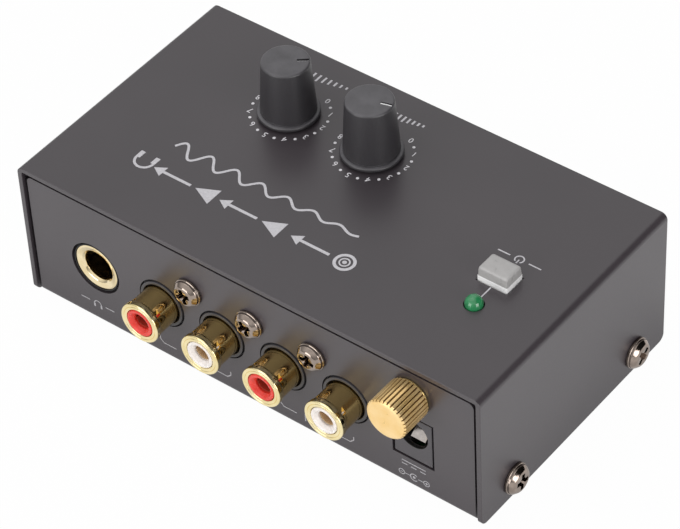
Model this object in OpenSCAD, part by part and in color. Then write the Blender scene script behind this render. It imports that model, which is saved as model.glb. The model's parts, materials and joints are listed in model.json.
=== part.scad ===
// Phono preamplifier in a two-piece sheet metal case.
// Frame: +Z up, +Y towards the jack panel, -Y towards the user, millimetres.
// Origin: middle of the footprint, on the surface that the feet stand on.

/* [Case] */
// Width of the case, end to end
case_w = 104; // [100:1:140]
// Depth of the case, panel to panel
case_d = 57; // [55:1:80]
// Height of the case without its feet
case_h = 31; // [28:1:45]
// Thickness of the sheet metal
sheet = 1; // [0.8:0.1:1.3]
// Outer radius of the cover's two long bends
bend_r = 1.4; // [1.4:0.1:4]
// Radius of the cover's lower corners on the user side
flange_r = 1.5; // [1:0.1:4]
// How far the panels sit back from the cover's rims
recess = 0.5; // [0.3:0.1:1.5]
// Gap between the panels' top edges and the cover
panel_top_gap = 1; // [0.4:0.1:1.5]
// Gap between the panels' side edges and the cover
panel_side_gap = 0.7; // [0.4:0.1:1.2]
// Height of the chassis lips along the two ends
lip_h = 8; // [7:0.5:12]
// Gap between the chassis lips and the cover
lip_gap = 0.2; // [0.1:0.05:0.5]

/* [Feet] */
// Height of a rubber foot
foot_h = 2; // [1:0.5:6]
// Diameter of a rubber foot
foot_d = 8; // [6:0.5:10]
// Distance of a foot's middle from the ends of the case
foot_inset_x = 8; // [6:0.5:12]
// Distance of a foot's middle from the panels
foot_inset_y = 8; // [6:0.5:12]

/* [Circuit board] */
// Thickness of the circuit board
board_t = 1.6; // [1:0.1:2]
// Height of the standoffs under the board
standoff_h = 4.7; // [4:0.1:5.2]
// Diameter of a standoff
standoff_d = 5; // [4.5:0.1:5.5]
// Diameter of the board screws
board_screw_d = 2.5; // [2:0.1:3]
// Gap between the board and the panels
board_gap = 1; // [0.5:0.1:1.5]
// Distance from the end of the case to the end of the board
board_inset = 6.8; // [6.5:0.1:7.4]
// How far the jacks' legs stand out under the board
leg_out = 1.2; // [0.8:0.1:1.6]

/* [Case screws] */
// Thread diameter of the case screws
screw_d = 3; // [2.5:0.1:3.5]
// Head diameter of the four cover screws
cover_head_d = 6.2; // [5:0.1:6.5]
// Head diameter of the three panel screws
panel_head_d = 5.8; // [5:0.1:6]
// Height of a screw head
head_h = 1.9; // [1.5:0.1:2.4]
// Length of a cover screw under its head
cover_screw_len = 5.5; // [4:0.1:6]
// Length of a panel screw under its head
panel_screw_len = 8; // [5:0.5:9]
// Half the distance between the two cover screws on one end
cover_screw_y = 18.9; // [14:0.1:19.5]
// Height of the cover screws above the case's underside
cover_screw_z = 4.3; // [3.8:0.1:4.6]
// Height of the panel screws above the jack axis
panel_screw_rise = 6.9; // [6.6:0.1:7.5]

/* [Knobs] */
// Distance between the two knobs
knob_pitch = 19.2; // [17:0.1:20]
// Position of the middle between the knobs, across the case
knob_mid_x = 10.5; // [5:0.1:14]
// Distance from the user panel to the knobs' axes
knob_front = 16.6; // [15.5:0.1:17.5]
// Height of a knob
knob_h = 12.4; // [10:0.1:16]
// Diameter of a knob's top
knob_top_d = 9.2; // [8.4:0.1:10]
// Diameter of a knob just above its flange
knob_foot_d = 10.7; // [10.2:0.1:12]
// Diameter of a knob's flange
knob_flange_d = 11.9; // [11:0.1:14]
// Thickness of a knob's flange
knob_flange_h = 0.9; // [0.6:0.1:2]
// Gap between a knob and the cover
knob_lift = 0.4; // [0.3:0.1:1.5]
// Radius of a knob's upper edge
knob_edge_r = 0.6; // [0.3:0.1:1]
// Diameter of the control shafts
shaft_d = 6; // [5:0.1:6.2]
// How much the flat takes off a shaft
shaft_flat = 1.5; // [0.5:0.1:2]
// How far the shafts reach into the knobs
shaft_grip = 9; // [7:0.5:9.5]
// Turn of the volume control from its lower stop, degrees
volume_turn = 22; // [0:1:300]
// Turn of the level control from its lower stop, degrees
level_turn = 45; // [0:1:300]
// Whole travel of a control, degrees
control_travel = 300; // [270:5:300]

/* [Potentiometers] */
// Width of a potentiometer
pot_w = 10; // [9.5:0.1:11]
// Depth of a potentiometer
pot_d = 11; // [10:0.1:12]
// Height of a potentiometer's base
pot_base_h = 3.2; // [3:0.1:4]
// Thickness of a potentiometer's bracket
pot_plate = 1.2; // [0.8:0.1:1.5]
// Diameter of a potentiometer's bush
pot_bush_d = 7; // [6.8:0.1:7.2]
// Height of a potentiometer's bush
pot_bush_h = 5; // [3:0.5:7]

/* [Power switch] */
// Distance from the end of the case to the switch
switch_inset = 14.8; // [14:0.1:16]
// Distance from the indicator to the switch
switch_pitch = 7.7; // [7.2:0.1:9]
// Width of the button cap
button_w = 6.4; // [5:0.1:7.5]
// Depth of the button cap
button_d = 4.7; // [4.2:0.1:6]
// How far the released button stands out of the cover
button_out = 3; // [2.6:0.1:5]
// Travel of the button
button_travel = 2.5; // [1.5:0.1:2.5]
// Bevel around the cap's top
button_bevel = 0.5; // [0.2:0.1:0.8]
// Width of the switch housing
switch_w = 8; // [7.5:0.1:8.5]
// Height of the switch housing
switch_h = 7.5; // [7:0.1:9]
// Width of the plunger
plunger_w = 2.8; // [2.4:0.1:3]
// Distance that the plunger stands out of the released switch
plunger_out = 5.5; // [4.5:0.1:6]

/* [Indicator] */
// Distance from the jack panel to the indicator
led_back = 18.3; // [17:0.1:19]
// Diameter of the indicator's lens
led_d = 3.4; // [3:0.1:3.6]
// How far the lens stands out of the cover
led_out = 1.9; // [1:0.1:2.5]

/* [RCA jacks] */
// Distance between neighbouring RCA jacks
rca_pitch = 14; // [13.5:0.1:14.1]
// Position of the middle of the row of RCA jacks
rca_mid_x = -1.4; // [-1.7:0.1:-0.7]
// Height of the jack axes above the board
jack_rise = 6.6; // [6.4:0.1:8]
// Depth of the RCA block behind the panel
rca_block_d = 11; // [9:0.5:11]
// How far an RCA shell stands out of the panel
rca_out = 6.5; // [5:0.1:9]
// Diameter of an RCA shell
rca_shell_d = 8; // [7.6:0.1:8.2]
// Diameter of an RCA shell's lip
rca_lip_d = 8.5; // [8.3:0.1:8.8]
// Length of an RCA shell's lip
rca_lip_l = 1.2; // [0.8:0.1:2]
// Wall of an RCA shell
rca_wall = 0.4; // [0.3:0.05:0.5]
// How far an RCA shell's lip folds in over the insulator
rca_fold_w = 0.7; // [0.4:0.1:1]
// Bore of an RCA centre contact
rca_bore_d = 3.24; // [3.2:0.01:3.3]
// Diameter of the collars in the panel
rca_collar_d = 10.2; // [9.8:0.1:10.6]

/* [Phone jack] */
// Position of the phone jack across the case
phone_x = 35.5; // [35.3:0.1:36]
// Width of the phone jack's body
phone_w = 15; // [14:0.1:15.4]
// Length of the phone jack's body behind the panel
phone_l = 31; // [28:0.5:32]
// Bore of the phone jack
phone_bore_d = 6.4; // [6.36:0.01:6.5]
// Diameter of the phone jack's ferrule
ferrule_d = 9.9; // [9:0.1:10.2]
// Length of the phone jack's ferrule
ferrule_l = 9; // [6:0.5:10]
// Depth of the phone jack's flared mouth
ferrule_mouth = 0.6; // [0.4:0.1:1.6]
// Diameter of the phone jack's collar
phone_collar_d = 11; // [10.8:0.1:11.4]

/* [DC socket] */
// Position of the DC socket across the case
dc_x = -37; // [-37.4:0.1:-36.4]
// Width of the DC socket
dc_w = 9; // [8.5:0.1:9.4]
// Height of the DC socket
dc_h = 11; // [10.5:0.1:11.2]
// Length of the DC socket behind the panel
dc_l = 13; // [12:0.1:13.2]
// How far the DC socket's face sits back from the panel's face
dc_recess = 0.1; // [0.1:0.1:0.8]
// Bore of the DC socket
dc_bore_d = 6.3; // [5.8:0.1:6.5]
// Diameter of the DC socket's pin
dc_pin_d = 2; // [1.6:0.1:2.5]
// Height of the DC socket's axis above the board
dc_rise = 6.5; // [6.2:0.1:6.8]

/* [Ground terminal] */
// How far the ground terminal sits below the middle of its space over the DC socket
ground_drop = 0.45; // [0.2:0.05:0.6]
// Thread diameter of the ground stud
stud_d = 4; // [3:0.1:5]
// How far the ground stud stands out of the panel
stud_out = 5.5; // [4:0.1:6]
// Diameter over the thumb-nut's knurl
nut_d = 8.4; // [7.5:0.1:9]
// Length of the thumb-nut
nut_l = 7; // [6.8:0.1:9]
// Number of ridges in the knurl
nut_ridges = 32; // [16:2:48]
// Depth of the knurl
nut_knurl = 0.32; // [0.1:0.02:0.5]
// Diameter of the ground washer
washer_d = 7.6; // [6:0.1:8.4]
// Thickness of the ground washer
washer_t = 0.4; // [0.3:0.1:0.8]

/* [Fits] */
// Radial gap of a shaft or stud that turns
turn_gap = 0.04; // [0.01:0.01:0.1]
// Gap between pieces that are assembled and stay put
fit_gap = 0.05; // [0.02:0.01:0.1]
// Gap around pieces that pass through the sheet metal
pass_gap = 0.15; // [0.1:0.05:0.2]
// Gap between parts that must not touch as they move
free_gap = 0.3; // [0.2:0.05:0.5]
// How much wider than its leg a hole in the board is
hole_gap = 0.4; // [0.3:0.05:0.5]

/* [Hidden] */
$fn = 64;

paint = [0.36, 0.35, 0.36];
black = [0.1, 0.1, 0.11];
gold = [0.85, 0.68, 0.35];
nickel = [0.78, 0.76, 0.73];
tin = [0.7, 0.7, 0.72];
board_green = [0.1, 0.35, 0.2];
eps = 0.01;
cut = 1;

// Levels, from the surface up
base_z = foot_h;
floor_z = base_z + sheet;
board_under_z = floor_z + standoff_h;
board_z = board_under_z + board_t;
jack_z = board_z + jack_rise;
top_z = base_z + case_h;
under_cover_z = top_z - sheet;

// Planes, front to back
rear_y = case_d / 2 - recess;
rear_in_y = rear_y - sheet;

// Places on the cover
switch_x = -case_w / 2 + switch_inset;
led_y = rear_y - led_back;
switch_y = led_y - switch_pitch;
knob_y = -rear_y + knob_front;

// Chassis
panel_w = case_w - 2 * sheet - 2 * panel_side_gap;
panel_h = case_h - sheet - panel_top_gap;
panel_corner_r = max(bend_r - sheet, 0.5) + panel_side_gap;
lip_x = case_w / 2 - sheet - lip_gap;
lip_end_gap = 2;
lip_len = 2 * (rear_in_y - lip_end_gap);
chassis_bend_r = sheet + 0.4;
foot_bevel = 0.5;

// Circuit board
board_w = case_w - 2 * board_inset;
board_d = 2 * (rear_in_y - board_gap);
standoff_edge_x = 3.2;
standoff_edge_y = 3.5;
led_standoff_x = 2.6;
led_standoff_back = 0.9;
phone_standoff_gap = 4.2;
phone_standoff_y = 5;
standoff_places = [
    [board_w / 2 - standoff_edge_x, -board_d / 2 + standoff_edge_y],
    [-board_w / 2 + standoff_edge_x, -board_d / 2 + standoff_edge_y],
    [-board_w / 2 + led_standoff_x, led_y - led_standoff_back],
    [phone_x - phone_w / 2 - phone_standoff_gap, phone_standoff_y]
];
recess_w = 0.9;
board_head_d = 4.4;
board_head_h = 1.6;
board_screw_len = board_t + standoff_h - free_gap;

// Controls
volume_x = knob_mid_x + knob_pitch / 2;
level_x = knob_mid_x - knob_pitch / 2;
knob_z = top_z + knob_lift;
knob_hollow = 1.2;
pointer_start = 2.1;
pointer_end = knob_top_d / 2 - 0.3;
pointer_w = 0.6;
pointer_depth = 0.5;
shaft_end_z = knob_z + shaft_grip;
lower_stop = 270 - (360 - control_travel) / 2;
pot_cavity_d = pot_w - 1;
pot_cavity_floor = 1;
rotor_d = pot_cavity_d - 1.2;
rotor_h = 1.2;
stop_peg = 26;
stop_lug = 360 - control_travel - stop_peg - 6;
pot_leg_t = 0.6;
pot_pin_pitch = 2.5;
pot_pin_w = 0.8;
pot_pin_t = 0.3;
pot_foot_w = 2;
pot_pin_y = knob_y - pot_d / 2 + 1;
pot_rotor_z = board_z + pot_cavity_floor + 0.2;
pot_top_z = board_z + pot_base_h + pot_plate + pot_bush_h;

// Power switch
button_top_z = top_z + button_out;
switch_top_z = board_z + switch_h;
plunger_top_z = switch_top_z + plunger_out;
stem_z = switch_top_z + button_travel + 0.4;
switch_wall = 1.2;
switch_roof = 0.8;
switch_leg = 2.5;
switch_leg_w = 0.7;
button_flange = 0.7;
button_flange_h = 0.9;
button_flange_z = under_cover_z - free_gap;
slide_gap = 0.2;
stem_wall = 0.7;
plunger_foot_w = switch_w - 2 * switch_wall - 0.6;
plunger_foot_h = 1.2;
plunger_foot_z = switch_top_z - switch_roof - fit_gap - plunger_foot_h;
spring_z = board_z + 1;
spring_d = 3.8;
spring_wire = 0.4;
spring_turns = 5;

// Indicator
led_seat_h = 3.4;
led_seat_z = top_z - led_seat_h;
led_rim = 0.3;
led_rim_h = 1;
led_lead_pitch = 1.27;
led_lead_w = 0.5;

// RCA jacks
side_gap = 0.1;
collar_rise = 0.25;
flange_t = 0.55;
flange_w = 0.9;
lip_fold = 0.35;
notch_turn = 20;
notch_w = 1.5;
notch_l = 0.9;
notch_side = 0.9;
notch_back = 1.1;
seam_turn = 45;
seam_w = 0.24;
seam_start = 0.6;
contact_in = 1.25;
contact_bore_l = 14;
contact_slit_l = 7;
slit_w = 0.3;
shell_leg_w = 1.9;
shell_leg_t = 0.45;
contact_leg_w = 1.4;
rca_x = [for (i = [0:3]) rca_mid_x + (1.5 - i) * rca_pitch];
rca_end_y = rear_y + rca_out;
rca_back_y = rear_in_y - rca_block_d;
rca_hole_d = rca_lip_d + 0.1;
rca_block_w = 4 * rca_pitch - 2 * side_gap;
rca_block_top = jack_z + rca_shell_d / 2 + 2.4;
boss_r = screw_d / 2 + 1.9;
panel_screw_z = jack_z + panel_screw_rise;
insulator_back_y = rca_back_y - 1.2;
contact_back_y = rca_back_y - 3.4;
contact_d = rca_bore_d + 2 * free_gap;
contact_front_y = rca_end_y - contact_in;
shell_leg_y = rca_back_y - 0.35;
contact_leg_y = contact_back_y + 0.25;

// Phone jack
phone_back_y = rear_in_y - phone_l;
ferrule_front_y = rear_y - 0.2;
ferrule_back_y = ferrule_front_y - ferrule_l;
phone_h = 2 * jack_rise;
spring_strip = 0.35;
strip_leg_w = 1;
ferrule_leg_w = 1.5;
ferrule_leg_t = 0.6;
ferrule_leg_y = ferrule_back_y + 0.5;
spring_bow = 1.4;
spring_reach = phone_bore_d / 2 + 0.25;
ring_contact_back = 25.5;
ring_contact_y = rear_y - ring_contact_back;
contact_strip_w = 4;
tip_contact_y = phone_back_y + 0.8;
ring_contact_l = 7;
tip_contact_l = 5;

// DC socket
dc_back_y = rear_in_y - dc_l;
dc_front_y = rear_y - dc_recess;
dc_axis_z = board_z + dc_rise;
dc_wall_y = dc_back_y + 4;
dc_leg_w = 1.5;
dc_leg_t = 0.5;
dc_strip_w = 3.1;
dc_strip_in = 1.4;
dc_pin_in = 2.8;
dc_slot_l = dc_front_y - dc_wall_y - 1;

// Ground terminal
ground_x = dc_x;
ground_axis_z = (board_z + dc_h + under_cover_z) / 2 - ground_drop;
nut_back_y = rear_y + washer_t + 2 * fit_gap;
nut_bore_l = stud_out + rear_y - nut_back_y + free_gap;
stud_head_d = stud_d + 3;
stud_head_h = 1.6;

// Small parts on the board
part_gap = 0.9;
can_d = 6.3;
can_h = 5.4;
can_foot_h = 0.8;
chip_w = 1.25;
chip_d = 2;
chip_h = 0.5;
chip_pitch = 2 * chip_w + part_gap / 9;
chip_lift = 0.15;
op_amp_w = 4.9;
op_amp_d = 3.9;
op_amp_h = 1.5;
op_amp_pitch = 1.27;
film_w = 7.2;
film_d = 2.5;
film_h = 6.5;
film_pitch = 5;
film_leg_w = 0.5;
regulator_w = 6.5;
regulator_d = 3.5;
regulator_h = 1.6;
regulator_tab_w = 3;
regulator_lead_w = 0.7;
regulator_lead_l = 1.9;
regulator_pitch = 2.3;
front_row_y = -0.38 * board_d;
mid_row_y = -0.2 * board_d;
back_row_y = 0.08 * board_d;
jack_row_y = rca_back_y - can_d - part_gap;
can_x = switch_x + (switch_w + can_d) / 2 + 3.6 * part_gap;
chip_x = can_x + (can_d + chip_w) / 2 + 0.3 * part_gap;
op_amp_x = chip_x + 2.7 * chip_pitch;
film_x = op_amp_x + (op_amp_w + film_w) / 2 + 2 * part_gap;
output_x = knob_mid_x - can_d / 2 - 2 * part_gap;
supply_x = phone_x - phone_w / 2;
op_amp_places = [[op_amp_x, -0.3 * board_d], [op_amp_x, back_row_y]];
can_places = [[can_x, front_row_y], [can_x, 0.6 * front_row_y], [can_x, 0.2 * front_row_y],
    [can_x + can_d / 3, jack_row_y], [output_x, back_row_y], [output_x + can_d + 2 * part_gap, back_row_y]];
film_places = [[film_x, jack_row_y], [film_x, 0.2 * back_row_y], [film_x, front_row_y - film_d / 4],
    [film_x + 2.2 * film_w, front_row_y - film_d / 2], [supply_x + 0.8 * film_w, mid_row_y]];
chip_places = concat(
    [for (i = [0:4], y = [mid_row_y, 0.4 * mid_row_y]) [chip_x + i * chip_pitch, y]],
    [for (i = [0:3]) [supply_x + i * chip_pitch, mid_row_y - 3 * chip_d]]);
regulator_place = [switch_x - regulator_w * 0.4, mid_row_y];

// Legs that pass through the board: [x, y, leg width]
board_holes = concat(
    [for (x = rca_x) [x, shell_leg_y, shell_leg_w]],
    [for (x = rca_x) [x, contact_leg_y, contact_leg_w]],
    [for (x = [volume_x, level_x], i = [-1:1]) [x + i * pot_pin_pitch, pot_pin_y, pot_pin_w]],
    [for (x = [volume_x, level_x], s = [-1, 1]) [x + s * (pot_w + pot_leg_t) / 2, knob_y, pot_foot_w]],
    [for (sx = [-1, 1], sy = [-1, 1])
        [switch_x + switch_leg * sx, switch_y + switch_leg * sy, switch_leg_w]],
    [for (s = [-1, 1]) [switch_x + s * led_lead_pitch, led_y, led_lead_w]],
    [[phone_x, ferrule_leg_y, ferrule_leg_w],
     [phone_x - spring_reach - spring_bow - spring_strip / 2, ring_contact_y + strip_leg_w / 2, strip_leg_w],
     [phone_x + spring_reach + spring_bow + spring_strip / 2, tip_contact_y + strip_leg_w / 2, strip_leg_w],
     [dc_x, dc_back_y - dc_leg_t / 2, dc_leg_w],
     [dc_x, dc_wall_y + dc_leg_w / 2, dc_leg_w]],
    [for (p = film_places, s = [-1, 1]) [p[0] + s * film_pitch / 2, p[1], film_leg_w]]);

// Rectangle with its two lower corners rounded, standing on y = 0
module tray_outline(w, h, r) {
    translate([-w / 2, r]) square([w, h - r]);
    translate([-w / 2 + r, 0]) square([w - 2 * r, r + eps]);
    for (s = [-1, 1]) translate([s * (w / 2 - r), r]) circle(r);
}

// Cross-section of a sheet bent up on both sides
module bent_sheet(w, h, r) {
    difference() {
        tray_outline(w, h, r);
        translate([0, sheet]) tray_outline(w - 2 * sheet, h, max(r - sheet, 0.1));
    }
}

// Cylinder along +Y from plane y0 to plane y1
module bar_y(x, z, y0, y1, d) {
    translate([x, y0, z]) rotate([-90, 0, 0]) cylinder(h = y1 - y0, d = d);
}

// Box given by its middle in x and y and its two levels
module post(x, y, z0, z1, w, d) {
    translate([x - w / 2, y - d / 2, z0]) cube([w, d, z1 - z0]);
}

// Pan-head screw along -Z, its head's underside at z = 0
module pan_screw(d, len, head_d, head_height) {
    crown = head_height * 0.55;
    difference() {
        union() {
            translate([0, 0, -len]) cylinder(h = len + eps, d = d);
            rotate_extrude() intersection() {
                union() {
                    square([head_d / 2, head_height - crown]);
                    translate([0, head_height - crown]) square([head_d / 2 - crown, crown]);
                    translate([head_d / 2 - crown, head_height - crown]) circle(crown);
                }
                square([head_d, head_height]);
            }
        }
        for (a = [0, 90]) rotate([0, 0, a])
            translate([-head_d * 0.29, -recess_w / 2, head_height * 0.35])
                cube([head_d * 0.58, recess_w, head_height]);
    }
}

module chassis() {
    color(paint) difference() {
        union() {
            intersection() {
                translate([-panel_w / 2, 0, base_z]) rotate([90, 0, 90]) linear_extrude(panel_w)
                    bent_sheet(2 * rear_y, panel_h, chassis_bend_r);
                translate([0, rear_y + cut, base_z + panel_h]) rotate([90, 0, 0]) mirror([0, 1, 0])
                    linear_extrude(2 * (rear_y + cut)) tray_outline(panel_w, panel_h + cut, panel_corner_r);
            }
            translate([0, lip_len / 2, base_z]) rotate([90, 0, 0]) linear_extrude(lip_len)
                bent_sheet(2 * lip_x, lip_h, chassis_bend_r);
        }
        for (x = rca_x) bar_y(x, jack_z, rear_in_y - cut, rear_y + cut, rca_collar_d + 2 * pass_gap);
        bar_y(phone_x, jack_z, rear_in_y - cut, rear_y + cut, phone_collar_d + 2 * pass_gap);
        bar_y(ground_x, ground_axis_z, rear_in_y - cut, rear_y + cut, stud_d + 2 * fit_gap);
        for (i = [0:2])
            bar_y(rca_x[i] - rca_pitch / 2, panel_screw_z, rear_in_y - cut, rear_y + cut,
                screw_d + 2 * pass_gap);
        post(dc_x, rear_y, board_z - fit_gap, board_z + dc_h + fit_gap, dc_w + 2 * fit_gap, 4 * sheet);
        for (sx = [-1, 1], sy = [-1, 1])
            translate([sx * lip_x, sy * cover_screw_y, base_z + cover_screw_z]) rotate([0, 90, 0])
                cylinder(h = 4 * sheet, d = screw_d + 2 * fit_gap, center = true);
    }
}

module cover() {
    color(paint) difference() {
        intersection() {
            translate([0, case_d / 2, top_z]) rotate([90, 0, 0]) mirror([0, 1, 0])
                linear_extrude(case_d) bent_sheet(case_w, case_h, bend_r);
            translate([-case_w / 2 - cut, 0, base_z]) rotate([90, 0, 90])
                linear_extrude(case_w + 2 * cut) tray_outline(case_d, case_h + cut, flange_r);
        }
        for (x = [volume_x, level_x])
            translate([x, knob_y, under_cover_z - cut])
                cylinder(h = sheet + 2 * cut, d = shaft_d + 4 * free_gap);
        translate([switch_x, led_y, under_cover_z - cut])
            cylinder(h = sheet + 2 * cut, d = led_d + 2 * pass_gap);
        post(switch_x, switch_y, under_cover_z - cut, top_z + cut, button_w + 2 * slide_gap,
            button_d + 2 * slide_gap);
        for (sx = [-1, 1], sy = [-1, 1])
            translate([sx * case_w / 2, sy * cover_screw_y, base_z + cover_screw_z]) rotate([0, 90, 0])
                cylinder(h = 4 * sheet, d = screw_d + 2 * pass_gap, center = true);
    }
}

module feet() {
    color(black) for (sx = [-1, 1], sy = [-1, 1])
        translate([sx * (case_w / 2 - foot_inset_x), sy * (case_d / 2 - foot_inset_y), 0]) {
            cylinder(h = foot_bevel, d1 = foot_d - 2 * foot_bevel, d2 = foot_d);
            translate([0, 0, foot_bevel]) cylinder(h = foot_h - foot_bevel, d = foot_d);
        }
}

module cover_screws() {
    color(nickel) for (sx = [-1, 1], sy = [-1, 1])
        translate([sx * case_w / 2, sy * cover_screw_y, base_z + cover_screw_z])
            rotate([0, sx * 90, 0]) rotate([0, 0, 20 + 25 * sy])
                pan_screw(screw_d, cover_screw_len, cover_head_d, head_h);
}

module panel_screws() {
    color(nickel) for (i = [0:2])
        translate([rca_x[i] - rca_pitch / 2, rear_y, panel_screw_z])
            rotate([-90, 0, 0]) rotate([0, 0, 15 + 35 * i])
                pan_screw(screw_d, panel_screw_len, panel_head_d, head_h);
}

module standoffs() {
    color(tin) for (p = standoff_places) translate([p[0], p[1], floor_z]) difference() {
        cylinder(h = standoff_h, d = standoff_d);
        translate([0, 0, -cut]) cylinder(h = standoff_h + 2 * cut, d = board_screw_d + 2 * fit_gap);
    }
}

module board_screws() {
    color(nickel) for (p = standoff_places) translate([p[0], p[1], board_z])
        pan_screw(board_screw_d, board_screw_len, board_head_d, board_head_h);
}

module circuit_board() {
    color(board_green) difference() {
        translate([-board_w / 2, -board_d / 2, board_under_z]) cube([board_w, board_d, board_t]);
        for (p = standoff_places)
            translate([p[0], p[1], board_under_z - cut])
                cylinder(h = board_t + 2 * cut, d = board_screw_d + 2 * pass_gap);
        for (p = board_holes)
            translate([p[0], p[1], board_under_z - cut])
                cylinder(h = board_t + 2 * cut, d = p[2] + hole_gap);
    }
}

// Shaft section: a round bar with one flat
module shaft_section(d) {
    intersection() {
        circle(d = d);
        translate([-d / 2 - 1, -d / 2 - 1]) square([d + 1 - shaft_flat + 1, d + 2]);
    }
}

// Knob whose pointer groove runs out along its local +X
module knob(x, turn) {
    foot_r = knob_foot_d / 2;
    top_r = knob_top_d / 2;
    color(black) translate([x, knob_y, knob_z]) rotate([0, 0, lower_stop - turn]) difference() {
        rotate_extrude() {
            square([knob_flange_d / 2, knob_flange_h]);
            polygon([[0, 0], [foot_r, 0], [foot_r, knob_flange_h], [top_r, knob_h - knob_edge_r],
                [top_r - knob_edge_r, knob_h], [0, knob_h]]);
            intersection() {
                translate([top_r - knob_edge_r, knob_h - knob_edge_r]) circle(knob_edge_r);
                square([top_r, knob_h]);
            }
        }
        translate([0, 0, -cut]) linear_extrude(shaft_grip + free_gap + cut)
            shaft_section(shaft_d + 2 * fit_gap);
        translate([0, 0, -cut]) cylinder(h = knob_hollow + cut, d = shaft_d + 8 * free_gap);
        translate([pointer_start, -pointer_w / 2, knob_h - pointer_depth])
            cube([pointer_end - pointer_start, pointer_w, pointer_depth + cut]);
    }
}

module pot_shaft(x, turn) {
    color(tin) translate([x, knob_y, 0]) rotate([0, 0, lower_stop - turn]) {
        translate([0, 0, pot_rotor_z]) cylinder(h = rotor_h, d = rotor_d);
        translate([0, 0, pot_rotor_z]) intersection() {
            cylinder(h = rotor_h, d = pot_cavity_d - free_gap);
            linear_extrude(rotor_h) polygon([[0, 0], pot_w * [cos(stop_lug / 2), sin(stop_lug / 2)],
                pot_w * [cos(stop_lug / 2), -sin(stop_lug / 2)]]);
        }
        translate([0, 0, pot_rotor_z])
            cylinder(h = pot_base_h + pot_plate + pot_bush_h - pot_cavity_floor, d = shaft_d);
        translate([0, 0, pot_top_z]) linear_extrude(shaft_end_z - pot_top_z) shaft_section(shaft_d);
    }
}

module pot_base(x) {
    color([0.75, 0.65, 0.4]) difference() {
        union() {
            post(x, knob_y, board_z, board_z + pot_base_h, pot_w, pot_d);
            for (i = [-1:1])
                post(x + i * pot_pin_pitch, pot_pin_y, board_under_z - leg_out, board_z + eps,
                    pot_pin_w, pot_pin_t);
        }
        difference() {
            translate([x, knob_y, board_z + pot_cavity_floor]) cylinder(h = pot_base_h, d = pot_cavity_d);
            translate([x, knob_y, board_z]) rotate([0, 0, -90]) difference() {
                linear_extrude(pot_base_h) polygon([[0, 0], pot_w * [cos(stop_peg / 2), sin(stop_peg / 2)],
                    pot_w * [cos(stop_peg / 2), -sin(stop_peg / 2)]]);
                translate([0, 0, -cut]) cylinder(h = pot_base_h + 2 * cut, d = rotor_d + free_gap);
            }
        }
    }
}

module pot_bracket(x) {
    color(nickel) difference() {
        union() {
            post(x, knob_y, board_z + pot_base_h, board_z + pot_base_h + pot_plate, pot_w, pot_d);
            translate([x, knob_y, board_z + pot_base_h + pot_plate - eps])
                cylinder(h = pot_bush_h + eps, d = pot_bush_d);
            for (s = [-1, 1]) {
                post(x + s * (pot_w + pot_leg_t) / 2, knob_y, board_z, board_z + pot_base_h + pot_plate,
                    pot_leg_t, pot_d - 3);
                post(x + s * (pot_w + pot_leg_t) / 2, knob_y, board_under_z - leg_out, board_z + eps,
                    pot_leg_t, pot_foot_w);
            }
        }
        translate([x, knob_y, board_z + pot_base_h - cut])
            cylinder(h = pot_plate + pot_bush_h + 2 * cut, d = shaft_d + 2 * turn_gap);
    }
}

module volume_knob() knob(volume_x, volume_turn);
module level_knob() knob(level_x, level_turn);
module volume_shaft() pot_shaft(volume_x, volume_turn);
module level_shaft() pot_shaft(level_x, level_turn);
module volume_pot_base() pot_base(volume_x);
module level_pot_base() pot_base(level_x);
module volume_pot_bracket() pot_bracket(volume_x);
module level_pot_bracket() pot_bracket(level_x);

module power_button() {
    b = button_bevel;
    under_z = button_flange_z - button_flange_h;
    color([0.82, 0.82, 0.8]) difference() {
        union() {
            intersection() {
                translate([switch_x, switch_y + button_d, 0]) rotate([90, 0, 0])
                    linear_extrude(2 * button_d) polygon([[-button_w / 2, under_z],
                        [button_w / 2, under_z], [button_w / 2, button_top_z - b],
                        [button_w / 2 - b, button_top_z], [-button_w / 2 + b, button_top_z],
                        [-button_w / 2, button_top_z - b]]);
                translate([switch_x - button_w, switch_y, 0]) rotate([90, 0, 90])
                    linear_extrude(2 * button_w) polygon([[-button_d / 2, under_z],
                        [button_d / 2, under_z], [button_d / 2, button_top_z - b],
                        [button_d / 2 - b, button_top_z], [-button_d / 2 + b, button_top_z],
                        [-button_d / 2, button_top_z - b]]);
            }
            post(switch_x, switch_y, under_z, button_flange_z, button_w + 2 * button_flange,
                button_d + 2 * button_flange);
            post(switch_x, switch_y, stem_z, under_z + eps, plunger_w + 2 * stem_wall,
                plunger_w + 2 * stem_wall);
        }
        post(switch_x, switch_y, stem_z - cut, plunger_top_z + fit_gap,
            plunger_w + 2 * fit_gap, plunger_w + 2 * fit_gap);
    }
}

module switch_housing() {
    color(black) difference() {
        union() {
            post(switch_x, switch_y, board_z, switch_top_z, switch_w, switch_w);
            for (sx = [-1, 1], sy = [-1, 1])
                post(switch_x + switch_leg * sx, switch_y + switch_leg * sy, board_under_z - leg_out,
                    board_z + eps, switch_leg_w, switch_leg_w);
        }
        post(switch_x, switch_y, spring_z, switch_top_z - switch_roof, switch_w - 2 * switch_wall,
            switch_w - 2 * switch_wall);
        post(switch_x, switch_y, spring_z, switch_top_z + cut, plunger_w + free_gap, plunger_w + free_gap);
    }
}

module switch_plunger() {
    color([0.9, 0.9, 0.88]) {
        post(switch_x, switch_y, plunger_foot_z, plunger_top_z, plunger_w, plunger_w);
        post(switch_x, switch_y, plunger_foot_z, plunger_foot_z + plunger_foot_h,
            plunger_foot_w, plunger_foot_w);
    }
}

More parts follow.
